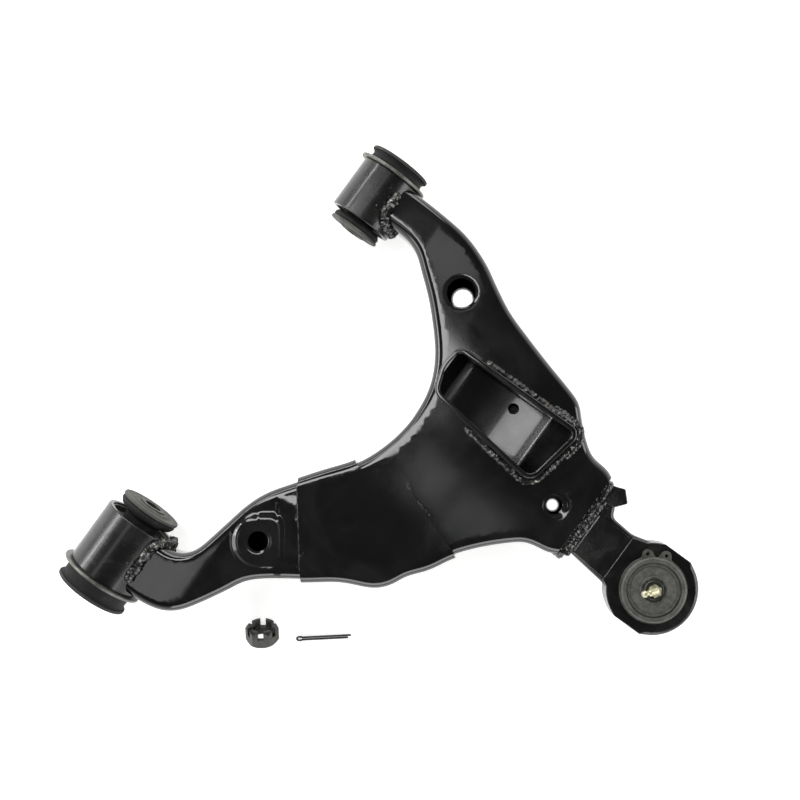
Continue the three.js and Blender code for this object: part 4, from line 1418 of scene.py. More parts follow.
# ------------------------------------------------------------------ damper bracket
@dataclass
class DamperBracket:
    """Collar and saddle that hold the damper's lower eye."""

    arm: PressedArm
    wall: float = 4.5
    rise: float = 24.0
    bolt_radius: float = 7.3
    bolt_drop: float = 11.5
    lip: float = 1.3
    saddle: float = 4.0
    bead: float = 3.7
    thin_bead: float = 1.5
    heavy_from: tuple[float, float] = (38.0, 20.0)

    @property
    def centre(self) -> tuple[float, float]:
        """Middle of the bracket."""
        return ARM.share(0.515, 0.34)

    @property
    def rim(self) -> float:
        """Height of the collar's rim."""
        return ARM.face(self.centre[0]) + self.rise

    def outline(self) -> Flat:
        """The collar's outer outline."""
        u, y = self.centre
        corners = ((-63.5, 26, 9), (-66.5, 3, 26), (-58, -21.5, 13), (56, -36, 12), (67, 26, 9))
        return evenly(left_turning(rounded([(u + a, y + b, r) for a, b, r in corners], 5.0)), 1.6)

    def pocket(self) -> Flat:
        """The opening inside the collar."""
        return grown(self.outline(), -self.wall)

    def foot(self, points: Flat) -> np.ndarray:
        """Height of the shell under each point.

        Args:
            points: u and y of each.

        Returns:
            The heights, or a low one outside the shell.
        """
        deep = distance_to(points, self.arm.outline)
        within = inside(points, self.arm.outline)
        edge = self.arm.edge
        short = np.clip(edge - deep, 0, edge)
        height = ARM.face(points[:, 0]) - edge + np.sqrt(np.maximum(edge ** 2 - short ** 2, 0))
        return np.where(within, height, 9.0)

    def build_collar(self) -> bpy.types.Object:
        """The collar, with its bolt holes."""
        outer, inner = self.outline(), self.pocket()
        low = np.maximum(self.foot(outer) - 0.2, 9.0)
        low = np.minimum(low, np.roll(low, 1) + 3)
        rings = [at_height(outer, low)]
        for line, sign in ((outer, -1), (inner, 1)):
            for k in range(4):
                turn = math.pi / 2 * k / 3
                turn = turn if sign < 0 else math.pi / 2 - turn
                rings.append(at_height(grown(line, sign * self.lip * (1 - math.cos(turn)), 0.0),
                                       self.rim - self.lip * (1 - math.sin(turn))))
        rings.append(at_height(inner, low))
        collar = raw_object("damper_collar", moved(looped(rings), ARM.stand))
        bolt = block(circle(0, 0, self.bolt_radius, 48), -70, 70)
        bolt = moved(bolt, lambda p: spun(p, 0, 90))
        place = np.array([self.centre[0] - 6, self.centre[1], self.rim - self.bolt_drop])
        worked(collar, moved((bolt[0] + place, bolt[1]), ARM.stand), Join.CUT)
        return finished(collar, BlackCoat(), Rides.ARM, ["shock_bracket"])

    def build_saddle(self) -> bpy.types.Object:
        """The curved floor between the collar's walls."""
        base = ARM.face(self.centre[0])
        line = curve_through([(-60, 34), (-58.6, 14), (-54.5, 1), (-45, -9), (-28, -15.2), (-8, -17.2),
                              (12, -16.4), (28, -12.4), (36, -8.6), (39.2, -6.7), (41.6, -4.6),
                              (46, 0.8), (53, 10.5), (60, 24)], 1.1, closed=False)
        ahead = np.gradient(line, axis=0)
        ahead /= np.linalg.norm(ahead, axis=1, keepdims=True)
        under = line + np.column_stack([ahead[:, 1], -ahead[:, 0]]) * self.saddle
        profile = np.vstack([line, under[::-1]]) + np.array([self.centre[0], base])
        strip = block(left_turning(profile), -70, 70)
        strip = moved(strip, lambda p: spun(p, 0, 90))
        strip = (strip[0] + np.array([0, self.centre[1], 0]), strip[1])
        saddle = raw_object("damper_saddle", moved(strip, ARM.stand))
        room = grown(self.outline(), -(self.wall + 0.1))
        worked(saddle, moved(block(room, -60, 90), ARM.stand), Join.KEEP_INSIDE)
        drain = block(circle(self.centre[0] + 6, self.centre[1] + 10, 5.0, 40), -60, 60)
        worked(saddle, moved(drain, ARM.stand), Join.CUT)
        return finished(saddle, SADDLE_COAT, Rides.ARM, ["shock_saddle"], crease=38)

    def build_weld(self) -> None:
        """Beads along the collar's foot: thin round the inboard corner, heavy from there on."""
        line = grown(self.outline(), 1.5)
        start = int(np.argmin(line[:, 0]))
        line = np.roll(line, -start, axis=0)
        away = outward(line)
        along = line[:, 0] - self.centre[0]
        rear = line[:, 1] > self.centre[1]
        runs = {
            "collar_weld_heavy": ((along > -self.heavy_from[0]) & rear)
            | ((along > -self.heavy_from[1]) & ~rear),
            "collar_weld_thin": (along > -58) & (along < -self.heavy_from[0]) & rear,
        }
        for name, keep in runs.items():
            heavy = name.endswith("heavy")
            radius = self.bead if heavy else self.thin_bead
            path = at_height(line + away * (0.3 * radius), self.foot(line) + 0.35 * radius)[keep]
            facing = np.column_stack([away[keep], np.full(int(keep.sum()), 1.1)])
            body = Bead(radius=radius, flat=0.9, pitch=4.4 if heavy else 2.6, ripple=0.34,
                        lumps=0.3, seed=2.0 * heavy).along(path, facing)
            made = raw_object(name, moved(body, ARM.stand))
            finished(made, WeldMetal(), Rides.ARM, ["shock_bracket_weld"], even=False)
        ridge = (along > 34) & rear
        path = at_height(line + away * self.bead * 1.25, self.foot(line) + 0.2)[ridge]
        body = Bead(radius=2.6, flat=0.8, pitch=4.0, ripple=0.4, lumps=0.35, seed=9.0).along(
            path, np.column_stack([away[ridge], np.full(len(path), 1.4)]))
        made = raw_object("collar_weld_second_pass", moved(body, ARM.stand))
        finished(made, WeldMetal(), Rides.ARM, even=False)


# ------------------------------------------------------------------ bushes
@dataclass
class Bush:
    """One pivot bush: welded tube, flanged sleeve, bonded rubber, core and two washers."""

    prefix: str
    core: Rides
    y: float
    out: int
    tube_radius: float
    tube_length: float
    flange_radius: float
    sleeve_radius: float
    bore_radius: float
    outer_disc: float
    outer_reach: float
    inner_disc: float
    inner_reach: float
    tube_wall: float = 4.0
    sleeve_wall: float = 1.8
    flange: float = 2.6
    disc: float = 3.6

    def put(self, name: str, profile: Sequence[Sequence[float]], finish: object, rides: Rides,
            node: str, slot: str, segments: int = 112) -> bpy.types.Object:
        """Turns one ring of the bush and lays it on the pivot axis.

        Args:
            name: the piece's name.
            profile: radius, distance outwards from the bush's middle, corner radius.
            finish: its finish.
            rides: the body it moves with.
            node: the CAD node it stands for.
            slot: not used.
            segments: facets round the axis.

        Returns:
            The piece.
        """
        points, faces = turned(profile, segments)
        laid = np.column_stack([points[:, 0] - ARM.reach, self.y + self.out * points[:, 2],
                                points[:, 1] + ARM.pivot_height])
        made = raw_object(f"{self.prefix}_{name}", (laid, faces))
        return finished(made, finish, rides, [node], crease=40)

    def build(self) -> None:
        """Builds every ring."""
        half = self.tube_length / 2
        bore = self.tube_radius - self.tube_wall
        p = self.prefix
        self.put("welded_tube", [(bore, -half, 0.5), (self.tube_radius, -half, 1.1),
                                 (self.tube_radius, half, 1.1), (bore, half, 0.5)],
                 TubeCoat(), Rides.ARM, f"{p}_tube", "tube_coat")
        shell = bore - 0.1
        inner = shell - self.sleeve_wall
        foot = half + 0.15
        self.put("flanged_sleeve", [
            (inner, -half + 2, 0.3), (shell, -half + 2, 0.5), (shell, foot, 0),
            (self.flange_radius, foot, 0.7), (self.flange_radius, foot + self.flange + 0.15, 1.0),
            (inner, foot + self.flange + 0.15, 0.4)], FLANGE_STEEL, Rides.ARM,
            f"{p}_outer_sleeve", "bare_steel")
        lip = foot + self.flange + 0.25
        outer_face = self.outer_reach - self.disc - 0.1
        inner_face = self.inner_reach - self.disc - 0.1
        hole = self.sleeve_radius + 0.1
        rubber = inner - 0.1
        waist = 0.6 * self.inner_disc
        groove = self.flange_radius - 7.4
        self.put("bonded_rubber", [
            (hole, -inner_face, 0.4), (self.inner_disc - 1.4, -inner_face, 1.2),
            (self.inner_disc - 0.6, -inner_face + 3.0, 1.6), (self.inner_disc - 3.2, -inner_face + 7.0, 3.0),
            (waist, -half - 3.4, 3.0), (waist, -half + 4, 2.0), (rubber, -half + 7, 0.6),
            (rubber, lip, 0.1), (self.flange_radius - 3.4, lip, 0.8),
            (groove + 0.4, lip + 2.2, 1.0), (groove, outer_face - 2.6, 1.0),
            (self.outer_disc - 1.6, outer_face, 0.6), (hole, outer_face, 0.4)],
            Rubber(), self.core, f"{p}_rubber", "rubber")
        reach = self.outer_reach
        self.put("inner_sleeve_core", [
            (self.bore_radius, -self.inner_reach - 1, 0.8), (self.sleeve_radius, -self.inner_reach - 1, 0.6),
            (self.sleeve_radius, reach + 1, 0.6), (self.bore_radius, reach + 1, 0.8)],
            DARK_STEEL, self.core, f"{p}_inner_sleeve", "bare_steel", 72)
        self.put("outer_thrust_washer", [
            (hole, reach - self.disc, 0.3), (self.outer_disc, reach - self.disc, 1.0),
            (self.outer_disc, reach - 0.5, 1.2), (self.outer_disc - 5.5, reach, 2.0),
            (hole + 4.5, reach, 0.8), (hole + 3.6, reach - 0.8, 0.5), (hole, reach - 0.8, 0.3)],
            Rubber("washer_paint", (0.03, 0.03, 0.028), (0.09, 0.09, 0.083)), self.core,
            f"{p}_outer_washer", "dark_steel")
        near = -self.inner_reach
        wide = self.inner_disc
        self.put("inner_thrust_washer", [
            (hole, near, 0.4), (wide * 0.62, near, 0.9), (wide * 0.7, near + 1.5, 0.8),
            (wide * 0.86, near + 1.5, 0.6), (wide - 0.2, near + 0.7, 0.9), (wide, near + 2.6, 0.9),
            (wide, near + self.disc, 0.8), (hole, near + self.disc, 0.3)],
            Rubber("dusty_washer", (0.07, 0.071, 0.064), (0.2, 0.2, 0.182)), self.core,
            f"{p}_inner_washer", "dark_steel")

    def build_tube_weld(self, by_flange: float, away_edge: float) -> None:
        """Bead where the leg meets the tube, with spatter beside it.

        Args:
            by_flange: y of the leg's edge beside the flange.
            away_edge: y of its other edge.
        """
        radius = 4.3
        top = ARM.face(20) + 1.6
        corner = 8 + 1.6
        away = away_edge - self.out * 1.8
        path = [(by_flange - self.out * 9, top)]
        for side in (1, -1):
            for k in range(6):
                turn = math.pi / 2 * ((1 - k / 5) if side > 0 else -k / 5)
                path.append((away + self.out * corner * (1 - math.cos(turn)),
                             side * (top - corner) + corner * math.sin(turn)))
        path.append((by_flange - self.out * 9, -top))
        line = evenly(np.array(path), 2.0, closed=False)
        reach = self.tube_radius + 1.5
        across = np.sqrt(np.maximum(reach ** 2 - line[:, 1] ** 2, 25))
        points = np.column_stack([across, line])
        lean = (line[:, 0] - (by_flange + away_edge) / 2) * 0.6
        facing = np.column_stack([across, lean, line[:, 1] * 2.2])
        bead = Bead(radius=radius, flat=0.8, pitch=4.6, ripple=0.3, lumps=0.42, seed=self.y)
        body = bead.along(points, facing)
        bead = raw_object(f"{self.prefix}_fillet_weld", moved(body, ARM.stand))
        node = "front_tube_weld" if self.out < 0 else "rear_tube_weld"
        finished(bead, WeldMetal(), Rides.ARM, [node], even=False)
        self.build_spatter(points)

    def build_spatter(self, weld: np.ndarray) -> None:
        """Drops of spatter on the tube beside the bead.

        Args:
            weld: the bead's middle line, in the arm's own frame.
        """
        chance = random.Random(round(self.y))
        drops = []
        for _ in range(26):
            _, y, h = weld[chance.randrange(len(weld) // 2)]
            y += chance.uniform(-9, 9)
            h = min(h + chance.uniform(-1, 5), self.tube_radius - 1.5)
            size = chance.uniform(0.35, 0.95)
            across = math.sqrt(self.tube_radius ** 2 - h ** 2)
            ball = turned([(0, -size), (size * 0.8, -size * 0.6, size * 0.3),
                           (size * 0.8, size * 0.6, size * 0.3), (0, size)], 10, 45)
            drops.append((ball[0] + np.array([across, y, h]), ball[1]))
        spatter = raw_object(f"{self.prefix}_weld_spatter", moved(merged(*drops), ARM.stand))
        finished(spatter, WeldMetal(), Rides.ARM, even=False)


# ------------------------------------------------------------------ carrier
@dataclass
class Carrier:
    """Forged neck and eye that hold the ball joint, and the steering stop beside it."""

    shell_end: float
    eye_radius: float = 41.0
    eye_flats: float = 77.6
    eye_top: float = 89.0
    eye_bottom: float = 64.0
    bore: float = 28.9
    neck_half: float = 11.0
    edge: float = 4.4
    pad: float = 2.4

    def eye_outline(self) -> tuple[Flat, np.ndarray]:
        """The eye's outline with its two flats, and the radius of its edge at each point."""
        half = self.eye_flats / 2
        side = math.sqrt(self.eye_radius ** 2 - half ** 2)
        turn = math.degrees(math.atan2(half, side))
        made, radii = [], []
        for start in (-turn, 180 - turn):
            for k in range(73):
                at = math.radians(start + 2 * turn * k / 72)
                made.append((self.eye_radius * math.cos(at), self.eye_radius * math.sin(at)))
                fade = min(1.0, min(k, 72 - k) / 4)
                inboard = max(0.0, -math.cos(at)) ** 0.5
                radii.append(self.edge * (0.25 + 0.75 * fade) * (1 - 0.8 * inboard))
            sign = 1 if start < 0 else -1
            for k in range(1, 10):
                made.append((sign * (side - 2 * side * k / 10), sign * half))
                radii.append(self.edge * 0.25)
        return np.array(made), np.array(radii)

    def build(self) -> bpy.types.Object:
        """The forging, with its machined pad and bore."""
        ball = ARM.ball
        outline = evenly(left_turning(rounded([
            (*ball(-103, 29), 8), (*ball(-84, 29), 6), (*ball(-81, 41), 6), (*ball(-66.2, 39.8), 5),
            (*ball(-63, 30.6), 7), (*ball(-40, 28.5), 24), (*ball(-14, 35.5), 10),
            (*ball(4, 30), 9), (*ball(4, -30), 9), (*ball(-18, -32), 9),
            (*ball(-36, -21.5), 20), (*ball(-84, -15.5), 30), (*ball(-103, -13), 8)], 5.0)), 1.3)
        neck = block(outline, -self.neck_half, self.neck_half, edge=self.edge, steps=6)
        carrier = raw_object("forged_carrier", moved(neck, ARM.stand))
        flat, radii = self.eye_outline()
        eye = block(flat, self.eye_bottom, self.eye_top, edges=radii, steps=6)
        worked(carrier, eye, Join.ADD)
        half = ARM.face(self.shell_end) - 3.5
        root = np.array([(self.shell_end - 16, -21.0), (self.shell_end - 0.3, -21.0),
                         (self.shell_end - 0.3, 51.0), (self.shell_end - 16, 51.0)])
        worked(carrier, moved(block(root, -half, half), ARM.stand), Join.ADD)
        shoulder = rounded([(-41, -18.6, 2.2), (-18, -30, 12), (0, -33, 6), (0, 33, 6), (-14, 34.4, 12),
                            (-41, 26.2, 2.2)], 12.0)
        level = block(evenly(left_turning(shoulder), 1.0), 70.0, self.eye_top, edge=1.0, steps=3)
        worked(carrier, level, Join.ADD)
        pad = rounded([(*ball(-74.5, -14.6), 1.6), (*ball(-39.0, -17.8), 1.6), (*ball(-39.0, 25.0), 1.6),
                       (*ball(-74.5, 26.6), 1.6)], 20.0)
        foot, top = evenly(left_turning(pad), 1.0), self.neck_half + self.pad
        raised = stacked([at_height(foot, 0.0), at_height(foot, top - 1.5),
                          at_height(grown(foot, -0.4, 0.0), top - 0.5),
                          at_height(grown(foot, -1.7, 0.0), top)])
        worked(carrier, moved(raised, ARM.stand), Join.ADD)
        worked(carrier, block(circle(0, 0, self.bore, 120), 40, 120), Join.CUT)
        return finished(carrier, CastCoat(), Rides.ARM, ["ball_joint_carrier"],
                        crease=36)

    def build_weld(self) -> None:
        """Two passes of weld round the shells' open end."""
        low, high = -24.5, 53.5
        top = self.neck_half + 3.4
        for run, (shift, radius) in enumerate(((-1.8, 3.3), (2.6, 3.2), (6.8, 2.9))):
            corners = [(high, top, 6.0), (low, top, 6.0), (low, -top, 6.0), (high, -top, 6.0)]
            line = evenly(rounded(corners, 15.0), 2.0)
            middle = line.mean(axis=0)
            if run == 2:
                line = np.column_stack([np.clip(line[:, 0], -19.0, 37.0), line[:, 1] * 0.93])
            path = np.column_stack([np.full(len(line), self.shell_end + 0.6 + shift), line])
            facing = np.column_stack([np.full(len(line), 6.0 * (run - 1)), (line - middle)])
            body = Bead(radius=radius, flat=0.8, pitch=5.2, ripple=0.34, lumps=0.3, seed=3.0 + run).along(
                path, facing, closed=True)
            bead = raw_object(f"carrier_weld_pass_{run + 1}", moved(body, ARM.stand))
            finished(bead, COATED_WELD, Rides.ARM, ["carrier_weld"], even=False)

    def build_stop(self) -> bpy.types.Object:
        """The steering stop lug."""
        ball = ARM.ball
        outline = rounded([(*ball(-84.4, 37), 0.6), (*ball(-76, 37.5), 3), (*ball(-68, 37.5), 3),
                           (*ball(-59.5, 48), 1.6), (*ball(-68.5, 57.5), 1.6), (*ball(-75, 55), 3),
                           (*ball(-84.4, 52), 0.6)], 15.0)
        lug = block(evenly(left_turning(outline), 0.9), -10, 12, edge=1.3)
        made = raw_object("steering_stop_lug", moved(lug, ARM.stand))
        return finished(made, CastCoat(), Rides.ARM, ["steering_stop"])


# ------------------------------------------------------------------ ball joint
@dataclass
class BallJoint:
    """The cartridge in the eye: housing, cap, snap ring, nipple, stud and boot."""

    radius: float = 28.7
    top: float = 96.0
    bottom: float = 52.5
    eye_top: float = 89.0
    eye_bottom: float = 64.0
    liner: float = 23.5
    groove: float = 1.5
    snap: float = 2.0
    ear_turn: float = 119.5
    ear_spread: float = 15.0
    ball_radius: float = 17.0
    ball_height: float = 74.0
    stud: float = 9.0
    tip_azimuth: float = 226.0
    tip_lean: float = 68.0

    @property
    def cap_top(self) -> float:
        """Height of the cap's face."""
        return self.top - 1.2

    def build_housing(self) -> None:
        """The turned housing and the cap spun into it."""
        r, g = self.radius, self.eye_top + 0.3
        housing = turned([
            (20.5, self.bottom, 0.8), (33.5, self.bottom, 1.2), (33.5, self.eye_bottom - 0.2, 0.8),
            (r, self.eye_bottom - 0.2, 0.3), (r, g, 0.2), (r - self.groove, g, 0.2),
            (r - self.groove, g + self.snap + 0.6, 0.2), (r, g + self.snap + 0.6, 0.2),
            (r, self.top, 1.8), (24.1, self.top, 0.9), (24.1, self.cap_top - 3.3, 0.2),
            (self.liner, self.cap_top - 3.3, 0.2), (self.liner, self.bottom + 7, 0.5),
            (16.5, self.bottom + 7, 0.5)], 120)
        made = raw_object("joint_housing", housing)
        finished(made, RING_STEEL, Rides.ARM, ["ball_joint_housing"], crease=40)
        t = self.cap_top
        cap = turned([
            (3.5, t - 3, 0.2), (23.8, t - 3, 0.3), (23.8, t - 0.7, 0.6), (21.9, t - 0.5, 0.5),
            (21.2, t - 1.1, 0.4), (20.4, t - 1.1, 0.4), (19.6, t, 0.7), (13.4, t, 0.6),
            (12.9, t - 0.45, 0.3), (12.2, t - 0.45, 0.3), (11.6, t + 0.1, 0.5), (8.6, t + 0.1, 0.5),
            (8.0, t + 0.8, 0.6), (3.5, t + 0.8, 0.3)], 120)
        made = raw_object("joint_cap", cap)
        finished(made, GreasedCap(), Rides.ARM, ["cover_plate"], crease=40)
        dimples = []
        for k in range(24):
            at = math.radians(15 * k + 7)
            size = 0.55 + 0.15 * math.sin(3.1 * k)
            dot = turned([(0, -0.3), (size, -0.3, 0.1), (size, 0.12, 0.1), (0, 0.12)], 12, 45)
            place = np.array([16.5 * math.cos(at), 16.5 * math.sin(at), t])
            dimples.append((dot[0] + place, dot[1]))
        made = raw_object("cap_stake_marks", merged(*dimples))
        finished(made, GreasedCap(), Rides.ARM, even=False)

    def build_snap_ring(self) -> None:
        """The external snap ring with its two pierced ears."""
        inner, outer = self.radius - self.groove + 0.3, 30.0
        base = self.eye_top + 0.6
        first, last = self.ear_turn + self.ear_spread, self.ear_turn - self.ear_spread + 360
        turns = np.radians(np.linspace(first, last, 110))
        ring = np.vstack([
            np.stack([outer * np.cos(turns), outer * np.sin(turns)], axis=1),
            np.stack([inner * np.cos(turns[::-1]), inner * np.sin(turns[::-1])], axis=1)])
        strip = block(left_turning(ring), base, base + self.snap, edge=0.35, steps=2)
        made = raw_object("snap_ring_formed", strip)
        middle, ear = outer + 1.2, 4.8
        for turn in (first, last):
            at = math.radians(turn)
            eye = circle(middle * math.cos(at), middle * math.sin(at), ear, 36)
            worked(made, block(eye, base, base + self.snap, edge=0.35, steps=2), Join.ADD)
            web = np.array([[far * math.cos(at + aside), far * math.sin(at + aside)]
                            for aside, far in ((-0.22, outer - 1), (-0.1, outer + 4.6),
                                               (0.1, outer + 4.6), (0.22, outer - 1))])
            worked(made, block(left_turning(web), base + 0.02, base + self.snap - 0.02), Join.ADD)
        worked(made, block(circle(0, 0, inner, 110), base - 1, base + self.snap + 1), Join.CUT)
        for turn in (first, last):
            at = math.radians(turn)
            hole = circle((outer + 1.8) * math.cos(at), (outer + 1.8) * math.sin(at), 1.6, 24)
            worked(made, block(hole, base - 1, base + self.snap + 1), Join.CUT)
        finished(made, RING_STEEL, Rides.ARM, ["snap_ring"])

    def build_nipple(self) -> None:
        """The bent grease nipple."""
        base = self.cap_top + 1.1
        hexagon = circle(0, 0, 10 / math.sqrt(3), 6)
        body = raw_object("bent_grease_nipple", block(hexagon, base, base + 5.6))
        chamfer = turned([(0, base - 1), (5.2, base - 1), (6.2, base + 0.5), (6.2, base + 5.0),
                          (5.0, base + 5.6), (0, base + 5.6)], 48)
        worked(body, chamfer, Join.KEEP_INSIDE)
        shank = block(circle(0, 0, 3.2, 32), self.cap_top - 2.6, base + 1)
        worked(body, shank, Join.ADD)
        tip = turned([(0, -2), (3.3, -2, 0.3), (3.3, 6, 0.5), (2.3, 7.2, 0.5), (2.3, 9.0, 0.5),
                      (3.3, 10.4, 0.7), (2.7, 12.9, 0.8), (1.1, 13.4, 0.3), (0.8, 12.6, 0.1), (0, 12.6)], 40)
        lean = moved(tip, lambda p: spun(spun(p, 1, -self.tip_lean), 2, self.tip_azimuth - 180)
                     + np.array([0, 0, base + 5]))
        worked(body, lean, Join.ADD)
        finished(body, YELLOW_ZINC, Rides.ARM, ["grease_nipple"], crease=30)

    def build_stud(self) -> None:
        """The ball stud with its taper, thread and cross hole."""
        arc = []
        start = -math.degrees(math.acos(8 / self.ball_radius))
        for k in range(25):
            at = math.radians(start + (62 - start) * k / 24)
            arc.append((self.ball_radius * math.cos(at),
                        self.ball_height + self.ball_radius * math.sin(at)))
        flat = self.ball_height + self.ball_radius * math.sin(math.radians(66))
        thread = []
        for k in range(12):
            z = 1.6 + 1.5 * k
            thread += [(self.stud - 0.85, z), (self.stud, z + 0.65), (self.stud, z + 0.85)]
        profile = [(0, 0), (self.stud - 1.4, 0, 0.2), *thread, (self.stud, 20), (self.stud + 0.4, 20, 0.1),
                   (self.stud + 2.1, 39, 0.4), (self.stud + 2.1, 43, 0.8), (8, 47, 1.0), *arc,
                   (6, flat), (0, flat)]
        stud = raw_object("tapered_ball_stud", turned(profile, 64))
        hole = moved(block(circle(0, 0, 2.3, 24), -20, 20),
                     lambda p: spun(p, 0, 90) + np.array([0, 0, 6.0]))
        worked(stud, hole, Join.CUT)
        finished(stud, BARE_STEEL, Rides.STUD, ["ball_stud"], crease=36)

    def build_boot(self) -> None:
        """The dust boot, in two parts, and its two wire rings."""
        top = self.bottom - 0.1
        profiles = {
            "boot_bellows_upper": [
                (26, top), (31.4, top, 0.4), (31.4, top - 2.8, 0.5), (33, top - 5, 1.6),
                (31.6, top - 7.6, 1.5), (24.4, top - 10.6, 0.2), (23.2, top - 9.2, 0.2),
                (30.2, top - 6.4, 1.4), (29.6, top - 3, 1), (26, top - 2, 0.4)],
            "boot_bellows_lower": [
                (24.4, top - 10.5, 0.2), (19.4, top - 12.6, 1.2), (13.8, top - 14.2, 0.8),
                (13.6, top - 18.2, 0.6), (11.4, top - 18.2, 0.4), (11.4, top - 13.0, 1.2),
                (19.0, top - 11.2, 1.0), (23.2, top - 9.1, 0.2)],
        }
        ends = {"boot_bellows_upper": (Rides.ARM, Rides.BOOT, top - 4.5, top - 10.2),
                "boot_bellows_lower": (Rides.BOOT, Rides.BOOT_NECK, top - 10.4, top - 14.6)}
        for name, profile in profiles.items():
            first, second, start, end = ends[name]
            made = finished(raw_object(name, turned(profile, 96)), Rubber(), None,
                            ["dust_boot"], crease=50, even=False)
            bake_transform(made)
        for name, node, wide, high, wire, rides in (
                ("boot_ring_upper", "boot_upper_clip", 32.6, top - 1.8, 0.9, Rides.ARM),
                ("boot_ring_lower", "boot_neck_clip", 14.8, top - 16.8, 0.8, Rides.BOOT_NECK)):
            section = [(wide + wire * math.cos(t), high + wire * math.sin(t))
                       for t in np.linspace(0, 2 * math.pi, 12, endpoint=False)]
            finished(raw_object(name, turned(section, 96)), DARK_STEEL, rides, [node],
                     crease=60, even=False)


# ------------------------------------------------------------------ loose fasteners
@dataclass
class Fasteners:
    """The castle nut and cotter pin that lie beside the arm."""

    across: float = 27.0
    total: float = 16.0
    bore: float = 9.3
    thread_pitch: float = 1.6
    slot: float = 5.2
    slot_depth: float = 8.0
    nut_at: tuple[float, float] = (-253.4, -247.6)
    nut_turn: float = 126.0
    nut_tip: float = 23.0
    wire: float = 1.9
    pin_length: float = 46.5
    pin_turn: float = 38.8
    pin_at: tuple[float, float] = (-219.1, -232.7)
    pin_eye: tuple[float, float] = (2.9, 1.7)

    def build_nut(self) -> bpy.types.Object:
        """The slotted nut, tipped up on the edge of its base."""
        wide, top = self.across / math.sqrt(3), self.total
        nut = raw_object("slotted_castle_nut", block(circle(0, 0, wide, 6), 0, top))
        worked(nut, turned([(0, 0), (wide - 1.8, 0), (wide + 0.2, 1.9), (wide + 0.2, top - 2.8),
                            (self.across / 2 - 0.6, top), (0, top)], 96), Join.KEEP_INSIDE)
        thread = [(0, -1), (self.bore + 1.4, -1), (self.bore, 1.2)]
        grooves = int((top - 3.0) / self.thread_pitch)
        for k in range(grooves):
            z = self.thread_pitch * (1 + k)
            thread += [(self.bore, z), (self.bore + 0.7, z + 0.7), (self.bore, z + 1.2)]
        thread += [(self.bore, top - 1), (self.bore + 1.2, top + 0.6), (0, top + 0.6)]
        worked(nut, turned(thread, 64), Join.CUT)
        for turn in (30, 90, 150):
            cut = rounded([(-20, -self.slot / 2, 0.4), (20, -self.slot / 2, 0.4),
                           (20, self.slot / 2, 0.4), (-20, self.slot / 2, 0.4)])
            tool = block(cut, top - self.slot_depth, top + 2)
            worked(nut, moved(tool, lambda p, t=turn: spun(p, 2, t)), Join.CUT)
        nut.data.transform(self._nut_place())
        softened(nut, 0.35, above=42)
        return finished(nut, NUT_STEEL, Rides.NUT, ["castle_nut"], crease=30)

    def _nut_place(self) -> Matrix:
        """The matrix that tips the nut up and rests it on the floor."""
        tip = math.radians(self.nut_tip)
        rest = self.total / 2 * math.sin(tip) + self.across / 2 * math.cos(tip)
        back = Matrix.Translation((0, 0, -self.total / 2 * MM))
        lay = Matrix.Rotation(tip - math.pi / 2, 4, "X")
        turn = Matrix.Rotation(math.radians(self.nut_turn - 90), 4, "Z")
        put = Matrix.Translation((self.nut_at[0] * MM, self.nut_at[1] * MM, rest * MM))
        return put @ turn @ lay @ back

    def build_pin(self) -> bpy.types.Object:
        """The cotter pin, one wire folded into an eye and two legs."""
        gap, (long, wide) = self.wire / 2 + 0.1, self.pin_eye
        start = math.degrees(math.asin(gap / wide))
        eye = [(long * (math.cos(math.radians(t)) - 0.8), wide * math.sin(math.radians(t)))
               for t in np.linspace(start, 360 - start, 30)]
        line = [(self.pin_length, gap), (20, gap), (3, gap), *eye, (3, -gap), (20, -gap),
                (self.pin_length - 3, -gap)]
        path = evenly(np.array([(x, y, 0.0) for x, y in line]), 0.5, closed=False)
        plain = Bead(radius=self.wire / 2, flat=1.0, pitch=50.0, ripple=0.0, lumps=0.0, sides=14)
        body = plain.along(path, (0, 0, 1))
        body = moved(body, lambda p: spun(p, 2, self.pin_turn)
                     + np.array([*self.pin_at, self.wire / 2]))
        pin = raw_object("folded_cotter_pin", body)
        return finished(pin, NUT_STEEL, Rides.PIN, ["cotter_pin"], even=False)


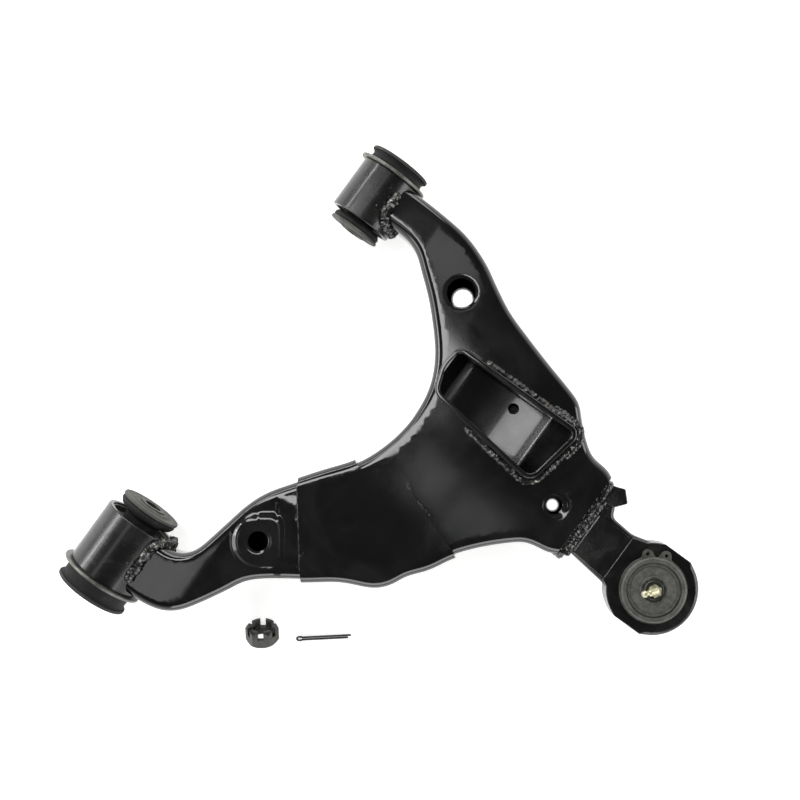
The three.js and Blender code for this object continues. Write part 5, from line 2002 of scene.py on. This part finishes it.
# ------------------------------------------------------------------ studio
@dataclass
class Studio:
    """Pale floor, soft lights and the camera above."""

    camera_at: tuple[float, float, float] = (-0.277, 0.0041, 1.210)
    camera_turn: float = 36.0
    lens: float = 57.51
    floor_level: float = -0.0006
    ambient: float = 0.07
    horizon: float = 1.1
    horizon_band: tuple[float, float] = (0.2, 0.66)

    def build(self) -> None:
        """Sets up the floor, the lights and the camera."""
        scene = bpy.context.scene
        scene.view_settings.view_transform = "Standard"
        floor = raw_object("studio_floor", block(circle(0, 0, 4000, 96), -20, 0))
        floor.location = (-0.28, 0, self.floor_level)
        floor.data.materials.append(PAINTS.of(Sweep()))
        world = bpy.data.worlds.new("studio_air")
        world.use_nodes = True
        sky, tree = world.node_tree.nodes["Background"], world.node_tree
        towards = tree.nodes.new("ShaderNodeTexCoord")
        apart = tree.nodes.new("ShaderNodeSeparateXYZ")
        rise = tree.nodes.new("ShaderNodeMapRange")
        rise.interpolation_type = "SMOOTHSTEP"
        for socket, value in zip(("From Min", "From Max", "To Min", "To Max"),
                                 (*self.horizon_band, self.horizon, self.ambient)):
            rise.inputs[socket].default_value = value
        sky.inputs["Color"].default_value = (0.98, 1.0, 0.985, 1.0)
        tree.links.new(towards.outputs["Generated"], apart.inputs[0])
        tree.links.new(apart.outputs["Z"], rise.inputs["Value"])
        tree.links.new(rise.outputs["Result"], sky.inputs["Strength"])
        scene.world = world
        centre = Vector((-0.25, 0.0, 0.05))
        lights = [
            ("inboard_bank", (-1.2, 0.1, 1.6), (0.3, 1.5), 6.5),
            ("inboard_strip", (-1.75, 0.0, 0.72), (1.9, 0.1), 14.0),
            ("front_bank", (0.65, -1.15, 0.75), (1.3, 0.7), 3.2),
            ("outboard_bank", (1.05, 0.75, 0.8), (1.3, 0.7), 3.4),
            ("rear_bank", (-1.2, 1.25, 0.8), (1.3, 0.7), 3.6),
            ("left_bank", (-1.5, -0.9, 0.75), (1.2, 0.6), 3.0),
            ("rear_leg_window", (-0.8, 0.38, 2.2), (0.26, 0.16), 1.1),
            ("front_leg_window", (-1.12, -0.8, 2.2), (0.4, 0.44), 1.4),
            ("waist_window", (-0.47, -0.11, 2.2), (0.12, 0.12), 0.9),
            ("body_window", (-0.3, -0.14, 2.2), (0.16, 0.12), 0.7),
        ]
        for name, at, (wide, high), radiance in lights:
            light = bpy.data.lights.new(name, "AREA")
            light.shape = "RECTANGLE"
            light.size, light.size_y = wide, high
            light.energy = radiance * math.pi * wide * high
            lamp = bpy.data.objects.new(name, light)
            lamp.location = at
            aim = Vector((at[0], at[1], 0.0)) if name.endswith("window") else centre
            lamp.rotation_euler = (aim - Vector(at)).to_track_quat("-Z", "Y").to_euler()
            scene.collection.objects.link(lamp)
        view = bpy.data.cameras.new("view")
        view.lens = self.lens
        view.sensor_width = 36.0
        view.clip_start = 0.02
        camera = bpy.data.objects.new("view", view)
        camera.location = self.camera_at
        camera.rotation_euler = (0.0, 0.0, math.radians(self.camera_turn))
        scene.collection.objects.link(camera)
        scene.camera = camera


def dress_hidden_pieces() -> None:
    """Gives the bearing pieces inside the joint their finishes."""
    for node, finish in (("lower_bearing_seat", Polymer()), ("upper_bearing_seat", Polymer()),
                         ("spring_washer", DARK_STEEL)):
        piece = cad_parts[node]
        piece.data.materials.clear()
        piece.data.materials.append(PAINTS.of(finish))
        log.info("%s: carried over", node)


def main() -> None:
    """Builds every sub-assembly in order."""
    logging.basicConfig(level=logging.INFO, format="%(name)s: %(message)s")
    Studio().build()
    arm = PressedArm()
    bracket = DamperBracket(arm)
    arm.build_upper(bracket.pocket())
    arm.build_lower()
    arm.build_seam_weld()
    arm.build_plate()
    arm.build_plate_welds()
    bracket.build_collar()
    bracket.build_saddle()
    bracket.build_weld()
    front = Bush("front_bush", Rides.FRONT_CORE, ARM.front_y, -1, 34.5, 60, 39.5, 13, 8.2,
                 35, 49.8, 28.75, 47)
    rear = Bush("rear_bush", Rides.REAR_CORE, ARM.rear_y, 1, 29.8, 50.5, 34, 12, 7.2,
                29.5, 40, 24.5, 36.7)
    front.build()
    rear.build()
    front.build_tube_weld(ARM.front_y - 26, ARM.front_y + 28.4)
    rear.build_tube_weld(ARM.rear_y + 23.4, ARM.rear_y - 15)
    carrier = Carrier(arm.shell_end)
    carrier.build()
    carrier.build_weld()
    carrier.build_stop()
    joint = BallJoint()
    joint.build_housing()
    joint.build_snap_ring()
    joint.build_nipple()
    joint.build_stud()
    joint.build_boot()
    loose = Fasteners()
    loose.build_nut()
    loose.build_pin()
    dress_hidden_pieces()


if __name__ == "__main__":
    main()
